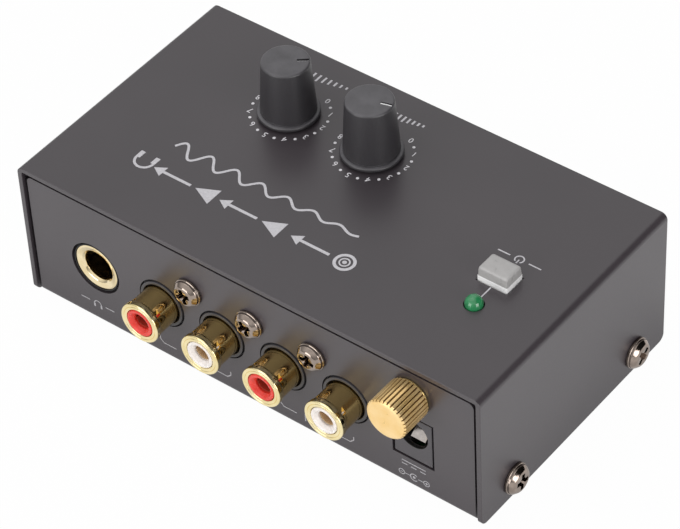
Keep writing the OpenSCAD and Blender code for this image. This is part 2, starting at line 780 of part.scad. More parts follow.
// Flat-wire compression spring: one ring sector swept up a helix
module switch_spring() {
    free_h = plunger_foot_z - spring_z - 2 * fit_gap;
    sector = 360 * spring_wire / (free_h / spring_turns);
    n = 5;
    color(tin) translate([switch_x, switch_y, spring_z + fit_gap])
        linear_extrude(height = free_h, twist = -360 * spring_turns, slices = 18 * spring_turns, $fn = 16)
            polygon(concat(
                [for (i = [0:n]) spring_d / 2 * [cos(sector * i / n), sin(sector * i / n)]],
                [for (i = [n:-1:0]) (spring_d / 2 - spring_wire) *
                    [cos(sector * i / n), sin(sector * i / n)]]));
}

module led_lens() {
    straight = led_out + led_seat_h - led_d / 2;
    color([0.1, 0.6, 0.25]) translate([switch_x, led_y, led_seat_z]) {
        cylinder(h = led_rim_h, d = led_d + 2 * led_rim);
        cylinder(h = straight, d = led_d);
        translate([0, 0, straight]) rotate_extrude() intersection() {
            circle(d = led_d);
            square(led_d);
        }
    }
}

module led_leads() {
    color(tin) for (s = [-1, 1])
        post(switch_x + s * led_lead_pitch, led_y, board_under_z - leg_out, led_seat_z,
            led_lead_w, led_lead_w);
}

module led_spacer() {
    color([0.9, 0.9, 0.88]) translate([switch_x, led_y, board_z]) difference() {
        cylinder(h = led_seat_z - board_z, d = led_d + 2 * led_rim);
        translate([0, 0, -cut])
            cylinder(h = led_seat_z - board_z + 2 * cut, d = 2 * led_lead_pitch + 3 * free_gap);
    }
}

module rca_block() {
    color(black) difference() {
        union() {
            translate([rca_mid_x, rear_in_y, 0]) rotate([90, 0, 0]) linear_extrude(rca_block_d) {
                translate([-rca_block_w / 2, board_z]) square([rca_block_w, rca_block_top - board_z]);
                for (i = [-1:1]) translate([i * rca_pitch, panel_screw_z]) circle(boss_r);
            }
            for (x = rca_x) bar_y(x, jack_z, rear_in_y - cut, rear_y + collar_rise, rca_collar_d);
        }
        for (x = rca_x) bar_y(x, jack_z, rca_back_y - cut, rear_y + cut, rca_hole_d);
        for (i = [0:2]) bar_y(rca_x[i] - rca_pitch / 2, panel_screw_z, rear_y - panel_screw_len - free_gap,
            rear_y, screw_d + 2 * fit_gap);
    }
}

// Gold shell with a rolled lip, four retaining notches and its rolling seam
module rca_shell(i) {
    x = rca_x[i];
    r = rca_shell_d / 2;
    lip_r = rca_lip_d / 2;
    tube_l = rca_end_y - rca_back_y + flange_t + fit_gap;
    fold = lip_fold;
    mouth_r = r - rca_wall - rca_fold_w;
    color(gold) difference() {
        union() {
            translate([x, rca_back_y - flange_t - fit_gap, jack_z]) rotate([-90, 0, 0]) rotate_extrude() {
                translate([r - rca_wall, 0]) square([rca_wall, tube_l - rca_lip_l]);
                translate([r - rca_wall, 0]) square([rca_wall + flange_w, flange_t]);
                translate([mouth_r, tube_l - rca_lip_l])
                    square([lip_r - mouth_r, rca_lip_l - fold]);
                translate([mouth_r + fold, tube_l - fold - eps])
                    square([lip_r - mouth_r - 2 * fold, fold + eps]);
                for (q = [mouth_r + fold, lip_r - fold]) translate([q, tube_l - fold]) circle(fold);
            }
            post(x, shell_leg_y, board_under_z - leg_out, jack_z - r - flange_w / 3, shell_leg_w, shell_leg_t);
        }
        for (a = [notch_turn:90:notch_turn + 270])
            translate([x, rca_end_y - rca_lip_l - notch_back, jack_z]) rotate([0, a, 0])
                translate([notch_side, 0, r - 1.5 * rca_wall]) cube([notch_w, notch_l, 2]);
        translate([x, rear_y + seam_start, jack_z]) rotate([0, seam_turn, 0])
            translate([-seam_w / 2, 0, r - 2 * rca_wall])
                cube([seam_w, rca_out - rca_lip_l - seam_start - side_gap, 2]);
    }
}

module rca_insulator(i) {
    r = rca_shell_d / 2 - rca_wall;
    shoulder_y = rca_end_y - rca_lip_l - fit_gap;
    color(i % 2 == 0 ? [0.85, 0.12, 0.08] : [0.95, 0.94, 0.92]) difference() {
        union() {
            bar_y(rca_x[i], jack_z, insulator_back_y, shoulder_y, 2 * (r - fit_gap));
            bar_y(rca_x[i], jack_z, insulator_back_y, rca_end_y, 2 * (r - rca_fold_w - fit_gap));
        }
        bar_y(rca_x[i], jack_z, insulator_back_y - cut, contact_front_y + fit_gap, contact_d + 2 * fit_gap);
        bar_y(rca_x[i], jack_z, contact_front_y - cut, rca_end_y + cut, rca_bore_d + fit_gap);
    }
}

module rca_contact(i) {
    x = rca_x[i];
    color(gold) difference() {
        union() {
            bar_y(x, jack_z, contact_back_y, contact_front_y, contact_d);
            post(x, contact_leg_y, board_under_z - leg_out, jack_z, contact_leg_w, shell_leg_t);
        }
        bar_y(x, jack_z, contact_front_y - contact_bore_l, contact_front_y + cut, rca_bore_d);
        translate([x - slit_w / 2, contact_front_y - contact_slit_l, jack_z - contact_d])
            cube([slit_w, contact_slit_l + cut, 2 * contact_d]);
    }
}

module phone_jack_body() {
    pocket_w = spring_bow + spring_strip + 0.5;
    color(black) difference() {
        union() {
            post(phone_x, rear_in_y - phone_l / 2, board_z, board_z + phone_h, phone_w, phone_l);
            bar_y(phone_x, jack_z, rear_in_y - cut, ferrule_front_y, phone_collar_d);
        }
        bar_y(phone_x, jack_z, phone_back_y - cut, rear_y + cut, phone_bore_d + 2 * slide_gap);
        bar_y(phone_x, jack_z, ferrule_back_y, rear_y + cut, ferrule_d + 2 * fit_gap);
        post(phone_x, ferrule_leg_y, board_z - cut, jack_z, ferrule_leg_w + 0.7, ferrule_leg_t + 0.5);
        translate([phone_x - spring_reach + 0.3 - pocket_w, ring_contact_y - 0.3, board_z - 1])
            cube([pocket_w, ring_contact_l + 0.6, jack_rise + 4]);
        translate([phone_x + spring_reach - 0.3, tip_contact_y - 0.3, board_z - 1])
            cube([pocket_w, tip_contact_l + 0.6, jack_rise + 4]);
    }
}

module phone_ferrule() {
    color(gold) difference() {
        union() {
            bar_y(phone_x, jack_z, ferrule_back_y + fit_gap, ferrule_front_y, ferrule_d);
            post(phone_x, ferrule_leg_y, board_under_z - leg_out, jack_z - ferrule_d / 2 + ferrule_leg_t,
                ferrule_leg_w, ferrule_leg_t);
        }
        bar_y(phone_x, jack_z, ferrule_back_y - cut, ferrule_front_y + cut, phone_bore_d);
        translate([phone_x, ferrule_front_y - ferrule_mouth, jack_z]) rotate([-90, 0, 0])
            cylinder(h = ferrule_mouth + eps, d1 = phone_bore_d, d2 = ferrule_d - 0.8);
    }
}

// Bowed contact strip with its leg, bowing out along its local +X
module contact_strip(len, width, drop) {
    translate([0, 0, -width / 2]) linear_extrude(width) polygon([[0, 0], [spring_strip, 0],
        [spring_bow + spring_strip, len / 2], [spring_strip, len], [0, len], [spring_bow, len / 2]]);
    translate([0, 0, -drop]) cube([spring_strip, strip_leg_w, drop]);
}

module phone_ring_contact() {
    color(gold) translate([phone_x - spring_reach - spring_bow - spring_strip, ring_contact_y, jack_z])
        contact_strip(ring_contact_l, contact_strip_w, jack_z - board_under_z + leg_out);
}

module phone_tip_contact() {
    color(gold) translate([phone_x + spring_reach + spring_bow + spring_strip, tip_contact_y, jack_z])
        mirror([1, 0, 0]) contact_strip(tip_contact_l, contact_strip_w, jack_z - board_under_z + leg_out);
}

module dc_socket_body() {
    color(black) difference() {
        post(dc_x, (dc_back_y + dc_front_y) / 2, board_z, board_z + dc_h, dc_w, dc_front_y - dc_back_y);
        bar_y(dc_x, dc_axis_z, dc_wall_y, dc_front_y + cut, dc_bore_d);
        bar_y(dc_x, dc_axis_z, dc_back_y - cut, dc_front_y + cut, dc_pin_d + 2 * fit_gap);
        translate([dc_x - dc_strip_w / 2 - slide_gap, dc_wall_y, board_z - cut])
            cube([dc_strip_w + 2 * slide_gap, dc_slot_l, dc_rise + cut]);
    }
}

module dc_pin() {
    color(nickel) {
        bar_y(dc_x, dc_axis_z, dc_back_y - dc_leg_t, dc_front_y - dc_pin_in, dc_pin_d);
        translate([dc_x, dc_front_y - dc_pin_in, dc_axis_z]) rotate([-90, 0, 0])
            cylinder(h = 0.6, d1 = dc_pin_d, d2 = dc_pin_d - 0.8);
        post(dc_x, dc_back_y - dc_leg_t / 2, board_under_z - leg_out, dc_axis_z + 1.2, dc_leg_w, dc_leg_t);
    }
}

module dc_side_contact() {
    strip = spring_strip;
    lip = dc_front_y - dc_wall_y - dc_strip_in;
    crest = dc_rise - dc_pin_d / 2 - slide_gap;
    low = dc_rise - dc_bore_d / 2 + strip;
    color(nickel) {
        translate([dc_x - dc_strip_w / 2, dc_wall_y, board_z]) rotate([90, 0, 90])
            linear_extrude(dc_strip_w)
                polygon([[strip, 1], [lip - 3, 1], [lip, low], [lip, low + strip], [lip - 1.6, crest],
                    [lip - 1.8, crest - strip], [lip - 2 * strip, low + strip / 2],
                    [lip - 3 - strip / 2, 1 + strip], [strip, 1 + strip]]);
        post(dc_x, dc_wall_y + dc_leg_w / 2, board_under_z - leg_out, board_z + 1 + strip / 2,
            dc_leg_w, strip);
    }
}

module ground_stud() {
    color(gold) {
        bar_y(ground_x, ground_axis_z, rear_in_y - stud_head_h, rear_y + stud_out, stud_d);
        bar_y(ground_x, ground_axis_z, rear_in_y - stud_head_h, rear_in_y, stud_head_d);
    }
}

module ground_washer() {
    color(gold) difference() {
        bar_y(ground_x, ground_axis_z, rear_y + fit_gap, rear_y + fit_gap + washer_t, washer_d);
        bar_y(ground_x, ground_axis_z, rear_y - cut, nut_back_y + cut, stud_d + 2 * turn_gap);
    }
}

// Closed thumb-nut: a core with rounded rims inside a band of straight ridges
module ground_nut() {
    r = nut_d / 2;
    rim = 0.4;
    core_r = r - nut_knurl - 0.05;
    color(gold) translate([ground_x, nut_back_y, ground_axis_z]) rotate([-90, 0, 0]) difference() {
        union() {
            translate([0, 0, rim]) linear_extrude(nut_l - 2 * rim) polygon([
                for (i = [0:2 * nut_ridges - 1]) (r - (i % 2) * nut_knurl) *
                    [cos(180 * i / nut_ridges), sin(180 * i / nut_ridges)]]);
            rotate_extrude() {
                translate([0, rim]) square([core_r, nut_l - 2 * rim]);
                square([core_r - rim, nut_l]);
                for (z = [rim, nut_l - rim]) translate([core_r - rim, z]) circle(rim);
            }
        }
        translate([0, 0, -cut]) cylinder(h = nut_bore_l + cut, d = stud_d + 2 * turn_gap);
    }
}

// Eight-legged surface-mount amplifier
module op_amps() {
    color(black) for (p = op_amp_places) translate([p[0], p[1], board_z]) {
        post(0, 0, chip_lift, chip_lift + op_amp_h, op_amp_w, op_amp_d);
        for (i = [-1.5:1.5], s = [-1, 1]) {
            post(i * op_amp_pitch, s * (op_amp_d / 2 + 0.35), 0.5, 0.7, 0.4, 1.1);
            post(i * op_amp_pitch, s * (op_amp_d / 2 + 0.9), 0, 0.7, 0.4, 0.2);
        }
    }
}

module electrolytic_capacitors() {
    color(tin) for (p = can_places) translate([p[0], p[1], board_z]) {
        post(0, 0, 0, can_foot_h, can_d + 2 * side_gap, can_d + 2 * side_gap);
        translate([0, 0, can_foot_h - eps]) cylinder(h = can_h - can_foot_h, d = can_d - 2 * side_gap);
    }
}

module film_capacitors() {
    color([0.7, 0.15, 0.12]) for (p = film_places) {
        post(p[0], p[1], board_z, board_z + film_h, film_w, film_d);
        for (s = [-1, 1])
            post(p[0] + s * film_pitch / 2, p[1], board_under_z - leg_out, board_z + eps, film_leg_w,
                film_leg_w);
    }
}

module chip_resistors() {
    color(black) for (p = chip_places) post(p[0], p[1], board_z, board_z + chip_h, chip_w, chip_d);
}

module regulator() {
    reach = (regulator_d + regulator_lead_l) / 2 - 0.15;
    color(black) translate([regulator_place[0], regulator_place[1], board_z]) {
        post(0, 0, 0.1, 0.1 + regulator_h, regulator_w, regulator_d);
        post(0, reach, 0, 0.3, regulator_tab_w, regulator_lead_l);
        for (i = [-1:1]) post(i * regulator_pitch, -reach, 0, 0.3, regulator_lead_w, regulator_lead_l);
    }
}

chassis();
cover();
feet();
cover_screws();
panel_screws();
standoffs();
board_screws();
circuit_board();
volume_knob();
level_knob();
volume_shaft();
level_shaft();
volume_pot_base();
level_pot_base();
volume_pot_bracket();
level_pot_bracket();
power_button();
switch_housing();
switch_plunger();
switch_spring();
led_lens();
led_leads();
led_spacer();
rca_block();
for (i = [0:3]) rca_shell(i);
for (i = [0:3]) rca_insulator(i);
for (i = [0:3]) rca_contact(i);
phone_jack_body();
phone_ferrule();
phone_ring_contact();
phone_tip_contact();
dc_socket_body();
dc_pin();
dc_side_contact();
ground_stud();
ground_washer();
ground_nut();
op_amps();
electrolytic_capacitors();
film_capacitors();
chip_resistors();
regulator();
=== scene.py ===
import json
from math import radians, sin, cos, pi, sqrt

import bmesh
import bpy
from mathutils import Matrix, Vector


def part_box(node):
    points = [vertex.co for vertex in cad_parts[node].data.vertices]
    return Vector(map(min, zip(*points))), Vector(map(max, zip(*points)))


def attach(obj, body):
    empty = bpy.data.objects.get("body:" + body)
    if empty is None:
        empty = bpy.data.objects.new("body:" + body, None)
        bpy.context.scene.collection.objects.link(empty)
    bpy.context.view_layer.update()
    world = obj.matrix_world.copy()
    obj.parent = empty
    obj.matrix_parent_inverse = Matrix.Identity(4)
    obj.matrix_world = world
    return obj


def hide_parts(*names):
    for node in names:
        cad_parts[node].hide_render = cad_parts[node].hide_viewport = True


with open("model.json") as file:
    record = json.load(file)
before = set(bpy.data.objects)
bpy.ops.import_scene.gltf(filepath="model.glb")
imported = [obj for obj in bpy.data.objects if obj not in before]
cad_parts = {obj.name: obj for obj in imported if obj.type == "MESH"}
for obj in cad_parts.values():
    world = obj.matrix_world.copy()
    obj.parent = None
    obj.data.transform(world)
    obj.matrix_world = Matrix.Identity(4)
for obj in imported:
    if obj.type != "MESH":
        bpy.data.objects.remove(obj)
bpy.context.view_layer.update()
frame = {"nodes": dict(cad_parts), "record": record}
scene = bpy.context.scene
scene.view_settings.view_transform = "Standard"
mm = 0.001
print("model loaded:", len(frame["nodes"]), "nodes")

# camera and studio

cameraView = {
    "azimuth": 219.766,  # degrees, 0 looks along +Y
    "elevation": 43.59,
    "roll": -3.27,
    "distance": 608.13,  # mm from the aim point
    "lens": 176.31,  # mm on a 36 mm wide sensor
    "aim": (0.0, 0.0, 19.0),
    "slide": (-0.171, -3.286),  # aim point moved right and up in the picture
}


def makeCamera():
    a, e, r = (radians(cameraView[k]) for k in ("azimuth", "elevation", "roll"))
    back = Vector((sin(a) * cos(e), -cos(a) * cos(e), sin(e)))
    level = Vector((cos(a), sin(a), 0))
    rise = Vector((-sin(a) * sin(e), cos(a) * sin(e), cos(e)))
    right = cos(r) * level + sin(r) * rise
    up = -sin(r) * level + cos(r) * rise
    aim = Vector(cameraView["aim"]) + cameraView["slide"][0] * right + cameraView["slide"][1] * up
    data = bpy.data.cameras.new("photoCamera")
    data.lens = cameraView["lens"]
    data.sensor_width = 36
    data.clip_start = 0.01
    camera = bpy.data.objects.new("photoCamera", data)
    place = Matrix((right, up, back)).transposed().to_4x4()
    place.translation = (aim + back * cameraView["distance"]) * mm
    camera.matrix_world = place
    scene.collection.objects.link(camera)
    scene.camera = camera


makeCamera()


def linear(code):
    # sRGB hex to the linear values that shader sockets take
    parts = [int(code[i:i + 2], 16) / 255 for i in (0, 2, 4)]
    return tuple(c / 12.92 if c <= 0.04045 else ((c + 0.055) / 1.055) ** 2.4 for c in parts) + (1.0,)


def addNode(tree, kind, props=None, values=None, links=None):
    node = tree.nodes.new(kind)
    for key, value in (props or {}).items():
        setattr(node, key, value)
    for key, value in (values or {}).items():
        node.inputs[key].default_value = value
    for key, source in (links or {}).items():
        tree.links.new(source, node.inputs[key])
    return node


def calc(tree, operation, *terms):
    # the output of a Math node; each term is another node's output or a plain number
    node = addNode(tree, "ShaderNodeMath", {"operation": operation})
    for socket, term in zip(node.inputs, terms):
        if isinstance(term, (int, float)):
            socket.default_value = term
        else:
            tree.links.new(term, socket)
    return node.outputs[0]


def easeBetween(tree, value, start, end, low, high):
    # a smooth change from low to high while the value goes from start to end
    return addNode(tree, "ShaderNodeMapRange", {"interpolation_type": "SMOOTHSTEP"},
                   {"From Min": start, "From Max": end, "To Min": low, "To Max": high},
                   {"Value": value}).outputs["Result"]


def fullForCamera(tree, rays, level):
    # the camera gets full brightness, every other ray the level
    return addNode(tree, "ShaderNodeMix", {"data_type": "FLOAT"}, {3: 1.0},
                   {0: rays["Is Camera Ray"], 2: level}).outputs[0]


studio = {
    "worldRim": 0.4, "worldTop": 0.95,  # brightness at the horizon and straight up
    "rimToTop": (0.1, 0.62),  # heights on the unit sphere between which it grows
    "darkSide": (-0.69, -0.56, 0.46),  # direction of a dark screen that the long bend mirrors
    "darkEdge": (0.6, 0.84),  # cosines where the screen begins and where it is full
    "darkLevel": 0.02,  # what is left of the light in its middle
    "footprint": (52, 28.5),  # painted shade: the floor that the panels mirror is darker close to the case
    "fadeStart": 1, "fadeEnd": 15,  # mm beyond the footprint
    "fadeLevel": 0.68,
    "floorWhite": 0.98,  # how far the floor is lifted to white for the camera
    "floorHalf": 3.0,  # half of the floor's side in metres
    "floorDrop": 0.3,  # mm from the floor up to the feet
    "lampAim": (0, 0, 18),
    "lamps": [  # name, place in mm, size in mm, watts
        ("overheadBox", (160, 60, 640), 520, 0.5),
        ("leftBox", (-680, 160, 150), 420, 2.4),
        ("jackBox", (140, 660, 150), 420, 1.8),
    ],
}
fullWhite = (1, 1, 1, 1)


def makeWorld():
    world = bpy.data.worlds.new("studioWorld")
    scene.world = world
    world.use_nodes = True
    tree = world.node_tree
    tree.nodes.clear()
    around = addNode(tree, "ShaderNodeTexCoord").outputs["Generated"]
    split = addNode(tree, "ShaderNodeSeparateXYZ", links={"Vector": around})
    height = easeBetween(tree, split.outputs["Z"], *studio["rimToTop"], studio["worldRim"],
                         studio["worldTop"])
    near = addNode(tree, "ShaderNodeVectorMath", {"operation": "DOT_PRODUCT"}, {1: studio["darkSide"]},
                   {0: around})
    screen = easeBetween(tree, near.outputs["Value"], *studio["darkEdge"], 1.0, studio["darkLevel"])
    rays = addNode(tree, "ShaderNodeLightPath").outputs
    strength = fullForCamera(tree, rays, calc(tree, "MULTIPLY", height, screen))
    glow = addNode(tree, "ShaderNodeBackground", values={"Color": fullWhite}, links={"Strength": strength})
    addNode(tree, "ShaderNodeOutputWorld", links={"Surface": glow.outputs[0]})


def whitePaper():
    # matt white paper: pure white for the camera; for the rays that the case gets, painted shade makes it
    # darker close to the case
    paper = bpy.data.materials.new("whitePaper")
    paper.use_nodes = True
    tree = paper.node_tree
    tree.nodes.clear()
    rays = addNode(tree, "ShaderNodeLightPath").outputs
    seen = calc(tree, "MAXIMUM", rays["Is Camera Ray"], rays["Is Glossy Ray"])
    seen = calc(tree, "MAXIMUM", seen, rays["Is Transmission Ray"])
    lift = calc(tree, "MULTIPLY", seen, studio["floorWhite"])
    matt = addNode(tree, "ShaderNodeBsdfDiffuse", values={"Color": linear("e4e4e4")})
    coords = addNode(tree, "ShaderNodeTexCoord")
    split = addNode(tree, "ShaderNodeSeparateXYZ", links={"Vector": coords.outputs["Object"]}).outputs
    beyond = [calc(tree, "SUBTRACT", calc(tree, "ABSOLUTE", split[axis]), half * mm)
              for axis, half in zip(("X", "Y"), studio["footprint"])]
    # painted shade on the floor, darker towards the case's footprint
    fade = easeBetween(tree, calc(tree, "MAXIMUM", *beyond), studio["fadeStart"] * mm, studio["fadeEnd"] * mm,
                       studio["fadeLevel"], 1.0)
    white = addNode(tree, "ShaderNodeEmission", values={"Color": fullWhite},
                    links={"Strength": fullForCamera(tree, rays, fade)})
    blend = addNode(tree, "ShaderNodeMixShader", links={0: lift, 1: matt.outputs[0], 2: white.outputs[0]})
    addNode(tree, "ShaderNodeOutputMaterial", links={"Surface": blend.outputs[0]})
    return paper


def makeFloor():
    floorMesh = bpy.data.meshes.new("studioFloor")
    half = studio["floorHalf"]
    floorMesh.from_pydata([(-half, -half, 0), (half, -half, 0), (half, half, 0), (-half, half, 0)], [],
                          [(0, 1, 2, 3)])
    floorMesh.materials.append(whitePaper())
    floorObj = bpy.data.objects.new("studioFloor", floorMesh)
    floorObj.location.z = -studio["floorDrop"] * mm
    scene.collection.objects.link(floorObj)


def makeLamps():
    for name, place, size, watts in studio["lamps"]:
        data = bpy.data.lights.new(name, "AREA")
        data.shape = "SQUARE"
        data.size = size * mm
        data.energy = watts
        lamp = bpy.data.objects.new(name, data)
        lamp.location = Vector(place) * mm
        lamp.rotation_euler = (Vector(place) - Vector(studio["lampAim"])).to_track_quat("Z", "Y").to_euler()
        scene.collection.objects.link(lamp)


makeWorld()
makeFloor()
makeLamps()
print("camera and studio ready")

# finishes


def startFinish(name, base, roughness, metallic=0.0, **sockets):
    # a material with its constants on the shader; returns what the detail nodes need
    finish = bpy.data.materials.new(name)
    finish.use_nodes = True
    tree = finish.node_tree
    tree.nodes.clear()
    values = {"Base Color": linear(base), "Roughness": roughness, "Metallic": metallic}
    values.update({key.replace("_", " "): value for key, value in sockets.items()})
    shader = addNode(tree, "ShaderNodeBsdfPrincipled", values=values)
    addNode(tree, "ShaderNodeOutputMaterial", links={"Surface": shader.outputs[0]})
    return finish, tree, shader, addNode(tree, "ShaderNodeTexCoord").outputs["Object"]


def wire(finish, shader, colour, roughness, normal=None):
    # the worked-out colour, roughness and relief go to the shader
    for label, source in (("Base Color", colour), ("Roughness", roughness), ("Normal", normal)):
        if source is not None:
            finish.node_tree.links.new(source, shader.inputs[label])
    return finish


def cloudNoise(tree, where, sizeMm, detail=3.0, roughness=0.55):
    return addNode(tree, "ShaderNodeTexNoise",
                   values={"Scale": 1 / (sizeMm * mm), "Detail": detail, "Roughness": roughness},
                   links={"Vector": where}).outputs["Fac"]


def blendOf(tree, first, second, share):
    # two patterns mixed, the second by its share
    return addNode(tree, "ShaderNodeMix", {"data_type": "FLOAT"}, {0: share},
                   {2: first, 3: second}).outputs[0]


def valueBetween(tree, fac, low, high, start=0.3, end=0.7):
    return addNode(tree, "ShaderNodeMapRange",
                   values={"From Min": start, "From Max": end, "To Min": low, "To Max": high},
                   links={"Value": fac}).outputs["Result"]


def tintBetween(tree, fac, low, high, start=0.3, end=0.7):
    return addNode(tree, "ShaderNodeMix", {"data_type": "RGBA"}, {6: linear(low), 7: linear(high)},
                   {0: valueBetween(tree, fac, 0.0, 1.0, start, end)}).outputs[2]


def paintOver(tree, under, share, colour):
    # a second colour laid over the first, by its share
    return addNode(tree, "ShaderNodeMix", {"data_type": "RGBA"}, {7: linear(colour)},
                   {0: share, 6: under}).outputs[2]


def bumpFrom(tree, fac, depthMm, strength):
    return addNode(tree, "ShaderNodeBump", values={"Strength": strength, "Distance": depthMm * mm},
                   links={"Height": fac}).outputs["Normal"]


def powderCoat():
    # satin powder coat, sprayed and baked: dark grey with a breath of plum, soft sheen and an orange
    # peel 0.5 mm across
    finish, tree, shader, where = startFinish("satinPowderCoat", "3d373b", 0.34, IOR=1.62)
    drift = cloudNoise(tree, where, 26, 2.0)
    speck = cloudNoise(tree, where, 0.22, 2.0, 0.7)
    return wire(finish, shader, tintBetween(tree, blendOf(tree, drift, speck, 0.35), "3a3539", "403a3e"),
                valueBetween(tree, speck, 0.31, 0.38),
                bumpFrom(tree, cloudNoise(tree, where, 0.5, 2.0), 0.012, 0.5))


def goldPlate(name, low, high, rough, metallic=1.0, lineHeight=0.4, grooves=False, deep=None):
    # thin gold over brass, turned then plated: pale warm mirror with fine turning lines
    finish, tree, shader, where = startFinish(name, high, rough, metallic)
    cloud = cloudNoise(tree, where, 3.0, 3.0)
    tint = tintBetween(tree, cloud, low, high)
    if deep:  # painted shade: behind the lip, which starts at this Y in mm, the barrel takes a deeper colour that stands for the dark case it mirrors
        lipStart, barrel = deep
        along = addNode(tree, "ShaderNodeSeparateXYZ", links={0: where}).outputs["Y"]
        behind = valueBetween(tree, along, 1.0, 0.0, (lipStart - 0.3) * mm, (lipStart + 0.3) * mm)
        tint = paintOver(tree, tint, behind, barrel)
    if grooves:  # the knurl is darker brown towards the bottom of its grooves
        valley = addNode(tree, "ShaderNodeAttribute", {"attribute_name": "valley"})
        tint = paintOver(tree, tint, valley.outputs["Fac"], "6b4a1c")
    turned = addNode(tree, "ShaderNodeMapping", values={"Scale": (0.15, 1.0, 0.15)}, links={"Vector": where})
    lines = cloudNoise(tree, turned.outputs["Vector"], 0.16, 1.0)
    return wire(finish, shader, tint, valueBetween(tree, cloud, rough - 0.03, rough + 0.05),
                bumpFrom(tree, lines, 0.002, lineHeight))


def nickelPlate(name, low, high, rough):
    # nickel over steel: warm grey mirror, a little cloudy
    finish, tree, shader, where = startFinish(name, high, rough, 1.0)
    cloud = cloudNoise(tree, where, 1.2, 3.0)
    return wire(finish, shader, tintBetween(tree, cloud, low, high),
                valueBetween(tree, cloud, rough - 0.04, rough + 0.06),
                bumpFrom(tree, cloudNoise(tree, where, 0.3), 0.004, 0.5))


def knobPlastic():
    # ABS from a spark-eroded mould: near black, its 0.15 mm grain drawn at 0.25 mm so that it shows
    finish, tree, shader, where = startFinish("mattBlackAbs", "2e2c2f", 0.42, IOR=1.62)
    grain = cloudNoise(tree, where, 0.25, 2.0, 0.6)
    facing = addNode(tree, "ShaderNodeTexCoord")  # painted sheen: faces that look up are painted paler, in clouds
    up = addNode(tree, "ShaderNodeSeparateXYZ", links={0: facing.outputs["Normal"]})
    lit = valueBetween(tree, up.outputs["Z"], 0.0, 1.0, 0.35, 0.95)
    patches = valueBetween(tree, cloudNoise(tree, where, 3.2, 3.0), 0.45, 1.0)
    black = tintBetween(tree, grain, "2b292c", "343235")
    tint = paintOver(tree, black, calc(tree, "MULTIPLY", lit, patches), "555357")
    return wire(finish, shader, tint, valueBetween(tree, grain, 0.38, 0.48), bumpFrom(tree, grain, 0.01, 0.6))


def mouldedBlack():
    # glass-filled nylon, moulded: black, half matt, faint flow clouds
    finish, tree, shader, where = startFinish("mouldedBlackNylon", "161617", 0.5, IOR=1.45)
    cloud = cloudNoise(tree, where, 2.5, 3.0)
    return wire(finish, shader, tintBetween(tree, cloud, "131314", "1a1a1b"),
                valueBetween(tree, cloud, 0.44, 0.58),
                bumpFrom(tree, cloudNoise(tree, where, 0.3), 0.008, 0.5))


def glossPlastic(name, base, low, high, rough, scatter=0.0, bore=None):
    # smooth moulding with a polished face: even colour, slight sink clouds
    finish, tree, shader, where = startFinish(name, base, rough, IOR=1.5, Subsurface_Weight=scatter,
                                              Subsurface_Radius=(1, 1, 1), Subsurface_Scale=0.0006)
    cloud = cloudNoise(tree, where, 1.6, 3.0)
    tint = tintBetween(tree, cloud, low, high)
    if bore:  # x, z and radius in mm of a hole along Y whose wall gets painted shade, near black
        x, z, radius = (value * mm for value in bore)
        flat = addNode(tree, "ShaderNodeVectorMath", {"operation": "MULTIPLY"}, {1: (1, 0, 1)}, {0: where})
        away = addNode(tree, "ShaderNodeVectorMath", {"operation": "DISTANCE"}, {1: (x, 0, z)},
                       {0: flat.outputs[0]})
        tint = paintOver(tree, tint, calc(tree, "LESS_THAN", away.outputs["Value"], radius), "0c0c0d")
    return wire(finish, shader, tint, valueBetween(tree, cloud, rough - 0.05, rough + 0.08),
                bumpFrom(tree, cloudNoise(tree, where, 0.7), 0.006, 0.4))


def greenLens():
    # tinted clear epoxy, cast: deep green where it is thick, bright where the light gathers
    finish, tree, shader, where = startFinish("greenEpoxyLens", "36a064", 0.07, IOR=1.5, Coat_Weight=0.4,
                                              Coat_Roughness=0.04, Transmission_Weight=0.4)
    cloud = cloudNoise(tree, where, 0.9, 2.0)
    return wire(finish, shader, tintBetween(tree, cloud, "31955c", "40ae70"),
                valueBetween(tree, cloud, 0.05, 0.1))


def screenInk(name, low, high):
    # screen-printed epoxy ink: chalky light grey, thinner towards some edges
    finish, tree, shader, where = startFinish(name, high, 0.5)
    cloud = cloudNoise(tree, where, 0.35, 3.0, 0.7)
    return wire(finish, shader, tintBetween(tree, cloud, low, high), valueBetween(tree, cloud, 0.42, 0.6),
                bumpFrom(tree, cloud, 0.004, 0.5))


def footRubber():
    # moulded nitrile rubber: dull black with a dusty bloom
    finish, tree, shader, where = startFinish("mouldedRubber", "161616", 0.75)
    bloom = cloudNoise(tree, where, 1.8, 4.0, 0.65)
    return wire(finish, shader, tintBetween(tree, bloom, "121212", "242323"),
                valueBetween(tree, bloom, 0.65, 0.85),
                bumpFrom(tree, cloudNoise(tree, where, 0.25), 0.012, 0.6))


def boardLaminate():
    # glass-epoxy laminate under green solder mask: woven cloth of 0.5 mm threads shows faintly through
    finish, tree, shader, where = startFinish("solderMaskLaminate", "1c5a36", 0.3, IOR=1.5, Coat_Weight=0.2)
    checks = addNode(tree, "ShaderNodeTexChecker", values={"Scale": 1 / (0.5 * mm)}, links={"Vector": where})
    weave = checks.outputs["Fac"]
    both = blendOf(tree, weave, cloudNoise(tree, where, 4.0), 0.6)
    return wire(finish, shader, tintBetween(tree, both, "184f2f", "21663d", 0.2, 0.8), None,
                bumpFrom(tree, weave, 0.01, 0.4))


def tinnedMetal():
    # dull tin plate: soft grey with crystal patches 1.5 mm across
    finish, tree, shader, where = startFinish("dullTinPlate", "b9bbbf", 0.38, 1.0)
    crystal = addNode(tree, "ShaderNodeTexVoronoi", values={"Scale": 1 / (1.5 * mm)}, links={"Vector": where})
    patches = crystal.outputs["Distance"]
    return wire(finish, shader, tintBetween(tree, patches, "adafb3", "c5c7ca", 0.1, 0.6),
                valueBetween(tree, patches, 0.3, 0.46, 0.1, 0.6))


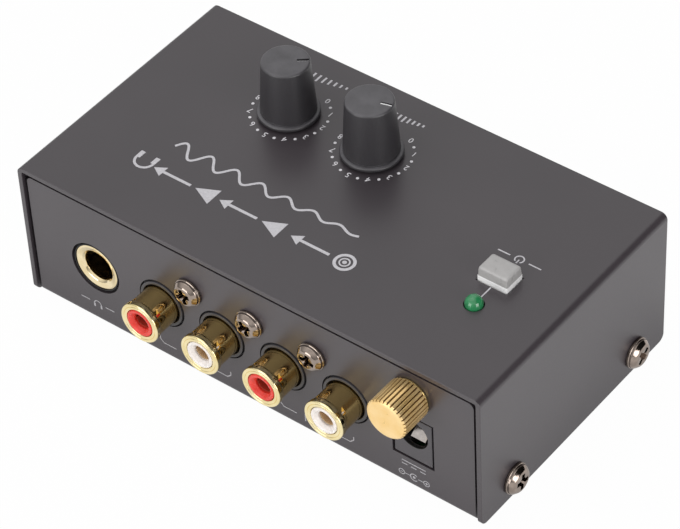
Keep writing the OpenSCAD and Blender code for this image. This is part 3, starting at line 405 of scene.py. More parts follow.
finishes = {
    "painted_sheet": powderCoat(),
    "black_rubber": footRubber(),
    "nickel": nickelPlate("brightNickel", "aca5a1", "c4beba", 0.16),
    "tinned": tinnedMetal(),
    "black_plastic": mouldedBlack(),
    "knob_plastic": knobPlastic(),
    "grey_cap": glossPlastic("greyAbsCap", "adabaa", "a8a6a5", "b2b0af", 0.3),
    "white_plastic": glossPlastic("whiteAbs", "e9e8e8", "e4e3e3", "eeeded", 0.3, 0.1),
    # the shells' barrel gets a deeper colour here as painted shade
    "gold_plate": goldPlate("goldPlate", "e9d69c", "f7e8ba", 0.1, deep=(33.5, "e8cb88")),
    "red_insulator": glossPlastic("redPolythene", "dc392c", "d43326", "e24436", 0.3, 0.35),
    "white_insulator": glossPlastic("whitePolythene", "e9e2de", "e4dcd6", "efe9e5", 0.3, 0.35),
    "green_lens": greenLens(),
    "board_laminate": boardLaminate(),
    "film_red": glossPlastic("dippedRedEpoxy", "a3271f", "982019", "ae2f26", 0.2),
    "track_board": glossPlastic("brownPhenolic", "9a7b47", "8f7040", "a58650", 0.4),
}
ink = screenInk("whiteScreenInk", "bdbbc0", "d2d0d4")
nutGold = goldPlate("brushedGoldPlate", "f4cd86", "fcdca2", 0.3, 0.72, grooves=True)
ferruleGold = goldPlate("paleGoldPlate", "e6d2a4", "f5e6c2", 0.1, lineHeight=0.08)
contactRed = goldPlate("dullGoldLitRed", "b23a29", "c44733", 0.5, 0.3)  # as seen in the light of red plastic
contactGold = goldPlate("dullGoldPlate", "d8b88c", "e6c9a0", 0.5, 0.4)
# painted shade: the screws' nickel is darkened to stand for the dark things their heads mirror
shadedScrewNickel = nickelPlate("shadedNickel", "8f8279", "a89a90", 0.12)
dialInk = screenInk("brightScreenInk", "d6d4d8", "e6e4e8")
panelInk = screenInk("greyScreenInk", "a19fa3", "b4b2b6")
blockGrey = glossPlastic("greyFilledNylon", "434144", "3e3c3f", "474548", 0.42)
groovePaint = screenInk("whiteGroovePaint", "e6e5e6", "f2f1f2")
print("finishes ready")

# making meshes


def newObject(name, mesh):
    obj = bpy.data.objects.new(name, mesh)
    scene.collection.objects.link(obj)
    return obj


creaseAngle = 32  # degrees; edges sharper than this stay sharp


def smoothMesh(mesh, angle):
    mesh.shade_smooth()
    mesh.set_sharp_from_angle(angle=radians(angle))


def fromBmesh(name, bm, angle=creaseAngle):
    # the finished mesh as an object of the scene; angle 0 leaves its faces flat
    mesh = bpy.data.meshes.new(name)
    bm.to_mesh(mesh)
    bm.free()
    if angle:
        smoothMesh(mesh, angle)
    return newObject(name, mesh)


def bakeModifiers(obj, angle=creaseAngle):
    # what the modifiers give becomes the object's own mesh; angle 0 keeps the shading that they made
    mesh = bpy.data.meshes.new_from_object(obj.evaluated_get(bpy.context.evaluated_depsgraph_get()))
    obj.modifiers.clear()
    old = obj.data
    obj.data = mesh
    bpy.data.meshes.remove(old)
    if angle:
        smoothMesh(mesh, angle)
    return obj


def drop(obj):
    data = obj.data
    bpy.data.objects.remove(obj)
    if isinstance(data, bpy.types.Mesh):
        bpy.data.meshes.remove(data)


def roundCorners(points, closed, steps):
    # points are (radius, height, corner radius); each corner is swept with an arc
    out, n = [], len(points)
    for i, (x, y, r) in enumerate(points):
        here = Vector((x, y))
        if r <= 0 or (not closed and i in (0, n - 1)):
            out.append(here)
            continue
        before = Vector(points[i - 1][:2]) - here
        after = Vector(points[(i + 1) % n][:2]) - here
        half = before.angle(after) / 2
        reach = min(r / max(abs(sin(half) / cos(half)), 1e-6), before.length * 0.49, after.length * 0.49)
        start, end = here + before.normalized() * reach, here + after.normalized() * reach
        for k in range(steps + 1):
            t = k / steps
            out.append(start * (1 - t) ** 2 + here * 2 * t * (1 - t) + end * t * t)
    return out


def lathe(name, profile, segments=96, closed=True, steps=5):
    # a profile of (radius, height, corner radius) in mm turned round Z; closed profiles make a ring
    bm = bmesh.new()
    rings = []
    for p in roundCorners(profile, closed, steps):
        angles = [2 * pi * k / segments for k in range(segments)] if p.x >= 1e-6 else [0]
        rings.append([bm.verts.new((p.x * cos(a) * mm, p.x * sin(a) * mm, p.y * mm)) for a in angles])
    pairs = list(zip(rings, rings[1:])) + ([(rings[-1], rings[0])] if closed else [])
    for a, b in pairs:
        for k in range(segments):
            j = (k + 1) % segments
            face = [a[k % len(a)], a[j % len(a)], b[j % len(b)], b[k % len(b)]]
            face = [v for i, v in enumerate(face) if v not in face[:i]]
            if len(face) > 2:
                bm.faces.new(face)
    bmesh.ops.remove_doubles(bm, verts=bm.verts, dist=1e-8)
    bmesh.ops.recalc_face_normals(bm, faces=bm.faces)
    return fromBmesh(name, bm)


def boxMesh(name, low, high, edge=0.0, turn=None):
    # a block between two corners in mm, its edges broken by edge, then turned
    bm = bmesh.new()
    bmesh.ops.create_cube(bm, size=1)
    size, mid = Vector(high) - Vector(low), (Vector(high) + Vector(low)) / 2
    for v in bm.verts:
        v.co = Vector([v.co[i] * size[i] + mid[i] for i in range(3)]) * mm
    if edge:
        bmesh.ops.bevel(bm, geom=bm.edges, offset=edge * mm, segments=3, profile=0.5, affect="EDGES")
    if turn is not None:
        bmesh.ops.transform(bm, matrix=turn, verts=bm.verts)
    return fromBmesh(name, bm)


def carve(obj, cutters):
    # exact booleans, then the helper objects go
    for i, other in enumerate(cutters):
        mod = obj.modifiers.new("fit%d" % i, "BOOLEAN")
        mod.operation = "DIFFERENCE"
        mod.solver = "EXACT"
        mod.object = other
    bakeModifiers(obj)
    for other in cutters:
        drop(other)
    return obj


def breakEdges(obj, width, segments=3, angle=40):
    bevel = obj.modifiers.new("brokenEdges", "BEVEL")
    bevel.width = width * mm
    bevel.segments = segments
    bevel.limit_method = "ANGLE"
    bevel.angle_limit = radians(angle)
    bevel.harden_normals = False
    smoothMesh(obj.data, 180)
    obj.modifiers.new("evenShading", "WEIGHTED_NORMAL").weight = 100
    return bakeModifiers(obj, 0)


def copyOfNodes(name, nodeNames, edge):
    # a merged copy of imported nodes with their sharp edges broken
    bm = bmesh.new()
    for nodeName in nodeNames:
        bm.from_mesh(frame["nodes"][nodeName].data)
    bmesh.ops.remove_doubles(bm, verts=bm.verts, dist=2e-7)
    bmesh.ops.dissolve_limit(bm, angle_limit=radians(0.5), verts=bm.verts, edges=bm.edges)
    return breakEdges(fromBmesh(name, bm), edge)


def place(obj, matrix):
    obj.data.transform(matrix)
    obj.data.update()
    return obj


def dress(obj, body, slotName, finish=None, nodes=()):
    # finish, body and slot of a finished piece
    obj.data.materials.clear()
    obj.data.materials.append(finish or finishes[slotName])
    for face in obj.data.polygons:
        face.material_index = 0
    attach(obj, body)
    if nodes:
        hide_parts(*nodes)
    return obj


towardsY = Matrix.Rotation(radians(-90), 4, "X")  # turns local +Z to +Y


def at(x, y, z):
    return Matrix.Translation(Vector((x, y, z)) * mm)


# geometry node trees


def startTree(name, sockets):
    # a tree with its named inputs; returns the tree, its inputs and the socket that the result goes to
    tree = bpy.data.node_groups.new(name, "GeometryNodeTree")
    for label, kind, default in sockets:
        socket = tree.interface.new_socket(label, in_out="INPUT", socket_type="NodeSocket" + kind)
        if default is not None:
            socket.default_value = default
    tree.interface.new_socket("Geometry", in_out="OUTPUT", socket_type="NodeSocketGeometry")
    return tree, addNode(tree, "NodeGroupInput").outputs, addNode(tree, "NodeGroupOutput").inputs[0]


def randomSpin(tree, ins, axis):
    # a seeded turn about an axis of the piece, up to the Spin input
    turn = addNode(tree, "FunctionNodeRandomValue", {"data_type": "FLOAT"},
                   links={"Max": ins["Spin"], "Seed": ins["Seed"]})
    spin = addNode(tree, "FunctionNodeAxisAngleToRotation", values={"Axis": axis},
                   links={"Angle": turn.outputs[1]})
    return spin.outputs[0]


def copiesOf(tree, ins, points, rotation):
    # the Piece input on every point
    source = addNode(tree, "GeometryNodeObjectInfo", links={"Object": ins["Piece"]})
    return addNode(tree, "GeometryNodeInstanceOnPoints", links={
        "Points": points, "Instance": source.outputs["Geometry"], "Rotation": rotation}).outputs[0]


def endTree(tree, ins, out, geometry):
    real = addNode(tree, "GeometryNodeRealizeInstances", links={"Geometry": geometry})
    coat = addNode(tree, "GeometryNodeSetMaterial",
                   links={"Geometry": real.outputs[0], "Material": ins["Finish"]})
    tree.links.new(coat.outputs[0], out)
    return tree


def runTree(name, tree, values, mesh=None):
    # an object made by a tree: inputs are set by identifier, then the result becomes a plain mesh
    obj = newObject(name, mesh or bpy.data.meshes.new(name))
    mod = obj.modifiers.new("layout", "NODES")
    mod.node_group = tree
    for item in tree.interface.items_tree:
        if item.item_type == "SOCKET" and item.in_out == "INPUT" and item.name in values:
            mod[item.identifier] = values[item.name]
    return bakeModifiers(obj)


def makeRowTree():
    # equal pieces along a line, each spun about its own Y
    tree, ins, out = startTree("rowOfPieces", [
        ("Count", "Int", 4), ("Start", "Vector", None), ("Step", "Vector", None), ("Spin", "Float", 0.0),
        ("Seed", "Int", 1), ("Piece", "Object", None), ("Finish", "Material", None)])
    line = addNode(tree, "GeometryNodeMeshLine", {"mode": "OFFSET"},
                   links={"Count": ins["Count"], "Start Location": ins["Start"], "Offset": ins["Step"]})
    return endTree(tree, ins, out,
                   copiesOf(tree, ins, line.outputs["Mesh"], randomSpin(tree, ins, (0, 1, 0))))


def makePointTree():
    # one piece on every point of a mesh, its +Z along the stored facing, with a seeded spin
    tree, ins, out = startTree("pieceOnPoints", [
        ("Geometry", "Geometry", None), ("Spin", "Float", 0.0), ("Seed", "Int", 1), ("Piece", "Object", None),
        ("Finish", "Material", None)])
    facing = addNode(tree, "GeometryNodeInputNamedAttribute", {"data_type": "FLOAT_VECTOR"},
                     {"Name": "facing"})
    aim = addNode(tree, "FunctionNodeAlignRotationToVector", {"axis": "Z"},
                  links={"Vector": facing.outputs[0]})
    both = addNode(tree, "FunctionNodeRotateRotation", {"rotation_space": "LOCAL"},
                   links={0: aim.outputs[0], 1: randomSpin(tree, ins, (0, 0, 1))})
    return endTree(tree, ins, out, copiesOf(tree, ins, ins["Geometry"], both.outputs[0]))


def makeDialTree():
    # printed dots on an arc round a control
    tree, ins, out = startTree("dialDots", [
        ("Dots", "Int", 10), ("Ring Radius", "Float", 0.0076), ("First Angle", "Float", 0.0),
        ("Angle Step", "Float", 0.5), ("Dot Radius", "Float", 0.0004), ("Ink Height", "Float", 0.00002),
        ("Finish", "Material", None)])
    line = addNode(tree, "GeometryNodeMeshLine", {"mode": "OFFSET"}, links={"Count": ins["Dots"]})
    index = addNode(tree, "GeometryNodeInputIndex").outputs[0]
    angle = calc(tree, "MULTIPLY_ADD", index, ins["Angle Step"], ins["First Angle"])
    unit = addNode(tree, "ShaderNodeCombineXYZ",
                   links={"X": calc(tree, "COSINE", angle), "Y": calc(tree, "SINE", angle)})
    spot = addNode(tree, "ShaderNodeVectorMath", {"operation": "SCALE"},
                   links={0: unit.outputs[0], "Scale": ins["Ring Radius"]})
    moved = addNode(tree, "GeometryNodeSetPosition",
                    links={"Geometry": line.outputs[0], "Position": spot.outputs[0]})
    dot = addNode(tree, "GeometryNodeMeshCylinder", values={"Vertices": 20},
                  links={"Radius": ins["Dot Radius"], "Depth": ins["Ink Height"]})
    dots = addNode(tree, "GeometryNodeInstanceOnPoints",
                   links={"Points": moved.outputs[0], "Instance": dot.outputs[0]})
    return endTree(tree, ins, out, dots.outputs[0])


rowTree, pointTree, dialTree = makeRowTree(), makePointTree(), makeDialTree()
print("node trees ready")

# case: cover, chassis and feet

case = {
    "topZ": 33.0,
    "panelY": 28.0,  # outer face of the jack panel
    "coverEdge": 0.16,  # broken edges of the cover's sheet
    "chassisEdge": 0.15,
    "feetX": 44.0, "feetY": 20.5, "footRadius": 4.0, "footHeight": 2.0,
    "footDish": 0.25,  # how far the middle of the sole is hollowed
}


def onPoints(name, blank, spots, facings, slotName, spin, seed=3):
    # a copy of the blank at every spot, each with its own facing
    mesh = bpy.data.meshes.new(name)
    mesh.from_pydata(spots, [], [])
    facing = mesh.attributes.new("facing", "FLOAT_VECTOR", "POINT")
    for i, f in enumerate(facings):
        facing.data[i].vector = f
    values = {"Spin": spin, "Seed": seed, "Piece": blank, "Finish": finishes[slotName]}
    return runTree(name, pointTree, values, mesh)


def buildCase():
    cover = copyOfNodes("coverShell", ["cover"], case["coverEdge"])
    dress(cover, "case", "painted_sheet", nodes=["cover"])
    chassis = copyOfNodes("chassisTray", ["chassis"], case["chassisEdge"])
    dress(chassis, "case", "painted_sheet", nodes=["chassis"])
    r, h = case["footRadius"], case["footHeight"]
    dish = case["footDish"]
    foot = lathe("footBlank", [(0, dish, 0), (r * 0.45, dish, 0.2), (r * 0.55, 0, 0.15), (r - 0.3, 0, 0.45),
                               (r, h, 0), (0, h, 0)], 64, closed=False)
    spots = [(sx * case["feetX"] * mm, sy * case["feetY"] * mm, 0) for sx in (-1, 1) for sy in (-1, 1)]
    feet = onPoints("rubberFeet", foot, spots, [(0, 0, 1)] * 4, "black_rubber", spin=2 * pi)
    dress(feet, "case", "black_rubber", nodes=["feet"])
    drop(foot)


buildCase()
print("case done")

# screws

screw = {
    "head": 3.1,  # radius of a cover screw's head
    "panelHead": 2.9,
    "height": 1.9,
    "shank": 1.5,
    "coverLength": 5.5, "panelLength": 8.0,
    "rim": 0.55,  # height of the head's straight rim
    "slotWidth": 1.0, "slotReach": 0.6,  # cross recess, reach as a share of the head radius
    "slotDepth": 1.2,  # below the head's seat, where it is only a point
    "edge": 0.06,
    "spin": 1.4,  # radians that the crosses may be turned by
}


def screwBlank(name, head, length):
    h, s, rim = screw["height"], screw["shank"], screw["rim"]
    profile = [(0, -length, 0), (s - 0.4, -length, 0), (s, -length + 0.5, 0), (s, 0, 0), (head - 0.12, 0, 0),
               (head, 0.2, 0.1), (head, rim, 0.12), (head - 0.14, rim + 0.07, 0.06),
               (head - 0.2, h * 0.55, 0.4), (head - 0.95, h, 0.9), (0, h, 0)]
    blank = lathe(name, profile, 72, closed=False, steps=7)
    reach, w = head * screw["slotReach"], screw["slotWidth"] / 2
    cutters = []
    for turn in (0, 90):
        cutter = boxMesh("recess", (-reach, -w, -screw["slotDepth"]), (reach, w, h + 1), 0.0,
                         Matrix.Rotation(radians(turn), 4, "Z"))
        for v in cutter.data.vertices:  # the recess narrows downwards
            if v.co.z < 0:
                v.co.x *= 0.5
                v.co.y *= 0.7
        cutters.append(cutter)
    point = [(0, -0.5, 0), (w * 1.3, h * 0.3, 0), (w * 2.0, h + 0.5, 0), (0, h + 0.5, 0)]
    cutters.append(lathe("recessPoint", point, 24, closed=False))
    carve(blank, cutters)
    return breakEdges(blank, screw["edge"], 2, 50)


def buildScrews():
    blank = screwBlank("coverScrewBlank", screw["head"], screw["coverLength"])
    low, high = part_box("cover_screws")
    x, z = high.x - screw["height"] * mm, (low.z + high.z) / 2
    y = high.y - screw["head"] * mm
    spots = [(sx * x, sy * y, z) for sx in (-1, 1) for sy in (-1, 1)]
    facings = [(sx, 0, 0) for sx in (-1, 1) for sy in (-1, 1)]
    screws = onPoints("coverScrews", blank, spots, facings, "nickel", screw["spin"], 5)
    dress(screws, "case", "nickel", shadedScrewNickel, ["cover_screws"])
    drop(blank)
    blank = screwBlank("panelScrewBlank", screw["panelHead"], screw["panelLength"])
    place(blank, towardsY)
    low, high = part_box("panel_screws")
    z = (low.z + high.z) / 2
    row = runTree("panelScrews", rowTree, {
        "Count": 3, "Start": (high.x - screw["panelHead"] * mm, case["panelY"] * mm, z),
        "Step": (-(high.x - low.x - 2 * screw["panelHead"] * mm) / 2, 0, 0),
        "Spin": screw["spin"], "Seed": 8, "Piece": blank, "Finish": finishes["nickel"]})
    dress(row, "case", "nickel", shadedScrewNickel, ["panel_screws"])
    drop(blank)


buildScrews()
print("screws done")

# knobs

knob = {
    "centres": {"volume": (20.1, -11.4), "level": (0.9, -11.4)},
    "pointers": {"volume": 218.0, "level": 195.0},  # degrees from +X
    "baseZ": 33.4, "height": 12.4,
    "topRadius": 4.6, "footRadius": 5.35, "flangeRadius": 5.95, "flangeHeight": 0.9,
    "edge": 0.55,
    "boreRadius": 3.0, "boreDepth": 9.9, "skirtBore": 4.2, "skirtDepth": 1.2,  # hollow under the knob
    "grooveStart": 2.1, "grooveEnd": 4.33, "grooveWidth": 0.6, "grooveDepth": 0.5,
    "paint": {"volume": 0.17, "level": 0.4},  # width of the white line along the near side of the groove: white paint on the level knob, on the volume knob a narrow painted highlight for the groove's lit edge
    "paintGap": 0.03,  # from the ends of the groove
}


def knobBlank(name):
    k = knob
    foot, h, flange = k["footRadius"], k["height"], k["flangeRadius"]
    rise = k["flangeHeight"]
    bore, depth, skirt, skirtDepth = k["boreRadius"], k["boreDepth"], k["skirtBore"], k["skirtDepth"]
    profile = [(0, depth, 0), (bore, depth, 0), (bore, skirtDepth, 0), (skirt, skirtDepth, 0), (skirt, 0, 0),
               (flange - 0.25, 0, 0.1),
               (flange, 0.25, 0.25), (flange, rise - 0.1, 0.4), (foot + 0.06, rise + 0.02, 0.12),
               (foot - 0.3, rise + 0.04, 0.08), (foot - 0.28, rise + 0.26, 0.06),
               (foot - 0.02, rise + 0.42, 0.08),
               (k["topRadius"], h, k["edge"]), (0.0, h - 0.05, 0)]
    return lathe(name, profile, 160, closed=False, steps=8)


def buildKnobs():
    start, end, w, gap = knob["grooveStart"], knob["grooveEnd"], knob["grooveWidth"] / 2, knob["paintGap"]
    top = knob["height"]
    bottom = top - knob["grooveDepth"]
    for which, (x, y) in knob["centres"].items():
        seat = at(x, y, knob["baseZ"]) @ Matrix.Rotation(radians(knob["pointers"][which]), 4, "Z")
        blank = knobBlank(which + "Knob")
        groove = boxMesh("groove", (start, -w, bottom), (end, w, top + 1))
        carve(blank, [groove])
        place(blank, seat)
        dress(blank, which + "_control", "knob_plastic", nodes=[which + "_knob"])
        # the pointer's white line: paint on the level knob, painted highlight on the volume knob
        line = boxMesh(which + "PointerPaint", (start + gap, -w + 0.02, bottom + 0.01),
                       (end - gap, -w + knob["paint"][which], top - 0.1), 0.04)
        place(line, seat)
        dress(line, which + "_control", "white_plastic", groovePaint)


buildKnobs()
print("knobs done")

# power button and indicator

button = {
    "centre": (-37.2, 2.0), "width": 6.4, "depth": 4.7, "topZ": 36.0,
    "skirtZ": 34.0,  # top of the white skirt
    "flangeZ": 31.7,  # top of the hidden flange
    "taper": 0.14,  # how much the cap draws in above the skirt
    "edge": 0.42,
    "flange": 0.7, "flangeThick": 0.9,  # the flange stands out under the cover
    "stemHalf": 2.1, "stemBore": 1.45,
}
indicator = {"centre": (-37.2, 9.7), "radius": 1.7, "topZ": 34.9, "seatZ": 29.6, "flange": 0.3,
             "flangeHeight": 1.0}


def buttonRing(inset, z, corner):
    # the button's rounded rectangle at one level, drawn in by inset
    x, y = button["centre"]
    reachX, reachY = button["width"] / 2 - inset - corner, button["depth"] / 2 - inset - corner
    out = []
    for cx, cy, start in ((1, 1, 0), (-1, 1, 90), (-1, -1, 180), (1, -1, 270)):
        for k in range(7):
            a = radians(start + 15 * k)
            out.append(Vector((x + cx * reachX + corner * cos(a), y + cy * reachY + corner * sin(a), z)) * mm)
    return out


def loft(name, rings):
    # a skin over rings of equally many points, closed at both ends
    bm = bmesh.new()
    loops = [[bm.verts.new(p) for p in ring] for ring in rings]
    n = len(loops[0])
    for lower, upper in zip(loops, loops[1:]):
        for k in range(n):
            j = (k + 1) % n
            bm.faces.new((lower[k], lower[j], upper[j], upper[k]))
    bm.faces.new(loops[0][::-1])
    bm.faces.new(loops[-1])
    bmesh.ops.recalc_face_normals(bm, faces=bm.faces)
    return fromBmesh(name, bm, 38)


def buildButton():
    b = button
    edge, inset, top, skirt = b["edge"], b["taper"], b["topZ"], b["skirtZ"]
    cap = [buttonRing(0.06, skirt - 0.15, 0.2), buttonRing(0.06, skirt + 0.02, 0.2),
           buttonRing(inset, top - edge - 0.1, 0.3)]
    for k in range(1, 6):
        a = radians(18 * k)
        cap.append(buttonRing(inset + edge * (1 - cos(a)), top - edge * (1 - sin(a)) - 0.02, 0.3 + 0.05 * k))
    cap.append(buttonRing(inset + edge + 0.25, top, 0.6))
    dress(loft("buttonCap", cap), "power_push", "grey_cap", nodes=["power_button"])
    flangeTop, flangeLow = b["flangeZ"], b["flangeZ"] - b["flangeThick"]
    levels = [(-b["flange"], flangeLow), (-b["flange"], flangeTop), (0, flangeTop + 0.01), (0, skirt - 0.08),
              (0.04, skirt), (0.1, skirt + 0.03)]
    rings = [buttonRing(out, z, 0.2) for out, z in levels]
    dress(loft("buttonSkirt", rings), "power_push", "white_plastic", nodes=["power_button"])
    x, y = b["centre"]
    under, half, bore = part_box("power_button")[0].z / mm, b["stemHalf"], b["stemBore"]
    stem = boxMesh("buttonStem", (x - half, y - half, under), (x + half, y + half, flangeLow + 0.02), 0.15)
    hole = boxMesh("stemHole", (x - bore, y - bore, under - 1), (x + bore, y + bore, flangeLow - 0.7))
    carve(stem, [hole])
    dress(stem, "power_push", "white_plastic", nodes=["power_button"])


def buildIndicator():
    i = indicator
    r, seat, flange = i["radius"], i["seatZ"], i["radius"] + i["flange"]
    shoulder, straight = seat + i["flangeHeight"], i["topZ"] - r
    dome = [(0, seat, 0), (flange, seat, 0.05), (flange, shoulder, 0.1), (r, shoulder, 0.05),
            (r, straight, 0)]
    for k in range(1, 12):
        a = radians(90 * k / 12)
        dome.append((r * cos(a), straight + r * sin(a), 0))
    dome.append((0, straight + r, 0))
    lens = lathe("indicatorLens", dome, 64, closed=False)
    place(lens, at(*i["centre"], 0))
    dress(lens, "case", "green_lens", nodes=["led_lens"])


buildButton()
buildIndicator()
print("button and indicator done")

# RCA jacks

rca = {
    "first": 19.6, "pitch": 14.0, "axisZ": 15.9,  # the first jack's X, and the axis of all
    "backY": 15.4, "lipY": 34.5, "lipLength": 1.2,
    "radius": 4.0, "wall": 0.4, "lipRadius": 4.25, "mouth": 2.9,
    "fold": 3.6,  # radius of the fine line in the lip's face
    "flange": 4.9, "flangeLength": 0.55,  # back end of the shell, inside the block
    "notchAngles": (20, 110, 200, 290), "notchSide": (0.9, 2.4), "notchAlong": (1.1, 0.2),
    "seamAngle": 45, "seamHalf": 0.14,
    "collarRadius": 5.1, "collarLess": 0.2,  # the block's collar draws in by this at the panel
    "discBack": 14.8, "discShoulder": 33.25, "discFace": 34.5, "discNeck": 2.85, "discHole": 1.65,
    "fit": 0.05,
    "contactBack": 12.6, "contactFront": 33.25, "contactRadius": 1.92, "contactBore": 1.62,
    "boreLength": 14, "slitLength": 7, "slitHalf": 0.15,
}


def turnUp(a):
    # an angle from the panel's up towards +X, for a blank whose +Z will point to +Y
    return Matrix.Rotation(radians(a - 90), 4, "Z")


def slimCollar(obj, x, z, radius, less):
    # a moulded collar draws in where it passes the panel, which leaves a dark ring round it
    back, near = (case["panelY"] - 1.02) * mm, 0.18 * mm
    for v in obj.data.vertices:
        dx, dz = v.co.x - x * mm, v.co.z - z * mm
        out = sqrt(dx * dx + dz * dz)
        if v.co.y > back and abs(out - radius * mm) < near:
            v.co.x -= dx / out * less * mm
            v.co.z -= dz / out * less * mm


def rcaPiece(name, blank, slotName, kind, jacks, finish=None):
    # one piece of the jacks in a row; jacks are their numbers, from the one next to the phone jack
    place(blank, towardsY)
    step = (jacks[1] - jacks[0]) * rca["pitch"]
    first = rca["first"] - (jacks[0] - 1) * rca["pitch"]
    row = runTree(name, rowTree, {
        "Count": len(jacks), "Start": (first * mm, 0, rca["axisZ"] * mm), "Step": (-step * mm, 0, 0),
        "Piece": blank, "Finish": finishes[slotName]})
    drop(blank)
    return dress(row, "case", slotName, finish, ["rca_%s_%d" % (kind, k) for k in jacks])


def shellBlank():
    c = rca
    r, flange, lip, mouth = c["radius"], c["flange"], c["lipRadius"], c["mouth"]
    inner, fold = r - c["wall"], c["fold"]
    back, end = c["backY"], c["lipY"]
    flangeEnd, neck = back + c["flangeLength"], end - c["lipLength"]
    shell = lathe("rcaShellBlank", [
        (inner, back, 0), (flange, back, 0.1), (flange, flangeEnd, 0.1), (r, flangeEnd, 0),
        (r, neck - 0.35, 0.3), (lip, neck + 0.15, 0.3), (lip, end, 0.55), (fold + 0.08, end - 0.05, 0.3),
        (fold, end - 0.2, 0.06), (fold - 0.08, end - 0.06, 0.08), (mouth + 0.1, end - 0.12, 0.15),
        (mouth, end - 0.5, 0.2), (mouth, neck, 0), (inner, neck, 0)], 128)
    (near, far), (low, high) = c["notchSide"], c["notchAlong"]
    cutters = [boxMesh("notch", (r - 0.6, near, neck - low), (r + 1, far, neck - high), 0.0, turnUp(a))
               for a in c["notchAngles"]]
    half = c["seamHalf"]
    cutters.append(boxMesh("seam", (r - 0.3, -half, case["panelY"] + 0.6), (r + 1, half, neck - 0.1), 0.0,
                           turnUp(c["seamAngle"])))
    return carve(shell, cutters)


def insulatorBlank():
    c = rca
    outer, bore = c["radius"] - c["wall"] - c["fit"], c["contactRadius"] + c["fit"]
    neck, hole = c["discNeck"], c["discHole"]
    back, shoulder, face = c["discBack"], c["discShoulder"], c["discFace"]
    return lathe("discBlank", [
        (bore, back, 0), (outer, back, 0.1), (outer, shoulder, 0.1), (neck, shoulder, 0), (neck, face, 0.35),
        (hole + 0.6, face - 0.06, 0.4), (hole, face - 0.75, 0.3), (hole, shoulder + 0.06, 0),
        (bore, shoulder + 0.06, 0)])


def contactBlank():
    c = rca
    front, back, r, bore = c["contactFront"], c["contactBack"], c["contactRadius"], c["contactBore"]
    bottom = front - c["boreLength"]
    contact = lathe("contactBlank", [(0, back, 0), (r, back, 0.1), (r, front, 0.1), (bore, front, 0.12),
                                     (bore, bottom, 0), (0, bottom, 0)], 64, closed=False)
    slit = boxMesh("slit", (-3, -c["slitHalf"], front - c["slitLength"]), (3, c["slitHalf"], front + 1))
    return carve(contact, [slit])


def buildRcaJacks():
    c = rca
    rcaPiece("rcaShells", shellBlank(), "gold_plate", "shell", (1, 2, 3, 4))
    rcaPiece("rcaRedDiscs", insulatorBlank(), "red_insulator", "insulator", (1, 3))
    rcaPiece("rcaWhiteDiscs", insulatorBlank(), "white_insulator", "insulator", (2, 4))
    rcaPiece("rcaContactsInRed", contactBlank(), "gold_plate", "contact", (1, 3), contactRed)
    rcaPiece("rcaContacts", contactBlank(), "gold_plate", "contact", (2, 4), contactGold)
    body = copyOfNodes("rcaBlockBody", ["rca_block"], 0.12)
    for k in range(4):
        slimCollar(body, c["first"] - k * c["pitch"], c["axisZ"], c["collarRadius"], c["collarLess"])
    dress(body, "case", "black_plastic", blockGrey, ["rca_block"])


buildRcaJacks()
print("jacks done")

# phone jack, DC socket and ground terminal

phone = {
    "x": 35.5, "axisZ": 15.9, "frontY": 27.8, "backY": 18.85,
    "radius": 4.95, "bore": 3.2, "mouth": 4.55, "mouthDepth": 0.6,
    "collarRadius": 5.5, "collarLess": 0.3,  # the body's collar draws in by this at the panel
}
ground = {
    "x": -37.0, "z": 25.7,
    "washerY": 28.05, "washerRadius": 3.8, "washerThick": 0.4, "bore": 2.04,
    "nutY": 28.5, "nutLength": 7.0, "nutRadius": 4.2, "boreDepth": 5.4, "rim": 0.45,
    "ridges": 32, "knurl": 0.3,  # depth of the grooves
    "grooveWave": (-0.35, -0.95),  # a groove starts and is full at these values of the cosine round the nut
    "bands": 26,  # rings of faces along the knurl
}
dcSocket = {
    "x": -37.0, "z": 15.8, "boreRadius": 3.22,  # hole for the plug, whose wall gets painted shade
    "gap": 0.42,  # between the socket's face and the panel's edge
    "edge": 0.25,
    "skin": 0.3,  # what lies this close to the housing's sides moves with them
}


def buildPhoneJack():
    p = phone
    bore, front, throat = p["bore"], p["frontY"], p["frontY"] - p["mouthDepth"]
    ring = lathe("phoneFerrule", [
        (bore, p["backY"], 0), (p["radius"], p["backY"], 0.1), (p["radius"], front - 0.12, 0.12),
        (p["mouth"] + 0.02, front, 0.15), (bore + 0.45, front - p["mouthDepth"] * 0.55, 0.5),
        (bore + 0.06, throat - 0.15, 0.3), (bore, throat - 0.9, 0.3)], 160)
    place(ring, at(p["x"], 0, p["axisZ"]) @ towardsY)
    dress(ring, "case", "gold_plate", ferruleGold, ["phone_ferrule"])
    body = copyOfNodes("phoneJackBody", ["phone_jack_body"], 0.12)
    slimCollar(body, p["x"], p["axisZ"], p["collarRadius"], p["collarLess"])
    dress(body, "case", "black_plastic", nodes=["phone_jack_body"])


# grey face, with painted shade near black on the wall of the plug's hole
socketGrey = glossPlastic("greyNylon", "454145", "424043", "4a464a", 0.4,
                          bore=(dcSocket["x"], dcSocket["z"], dcSocket["boreRadius"]))


def buildDcSocket():
    body = copyOfNodes("dcSocketBody", ["dc_socket_body"], dcSocket["edge"])
    low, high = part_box("dc_socket_body")
    mid, half = (low + high) / 2, (high - low) / 2
    for v in body.data.vertices:  # the housing narrows to its face, which leaves a dark gap in the panel
        if v.co.y > mid.y:
            for i in (0, 2):
                side = v.co[i] - mid[i]
                if abs(side) > half[i] - dcSocket["skin"] * mm:
                    v.co[i] = mid[i] + side * (1 - dcSocket["gap"] * mm / half[i])
    dress(body, "case", "black_plastic", socketGrey, ["dc_socket_body"])


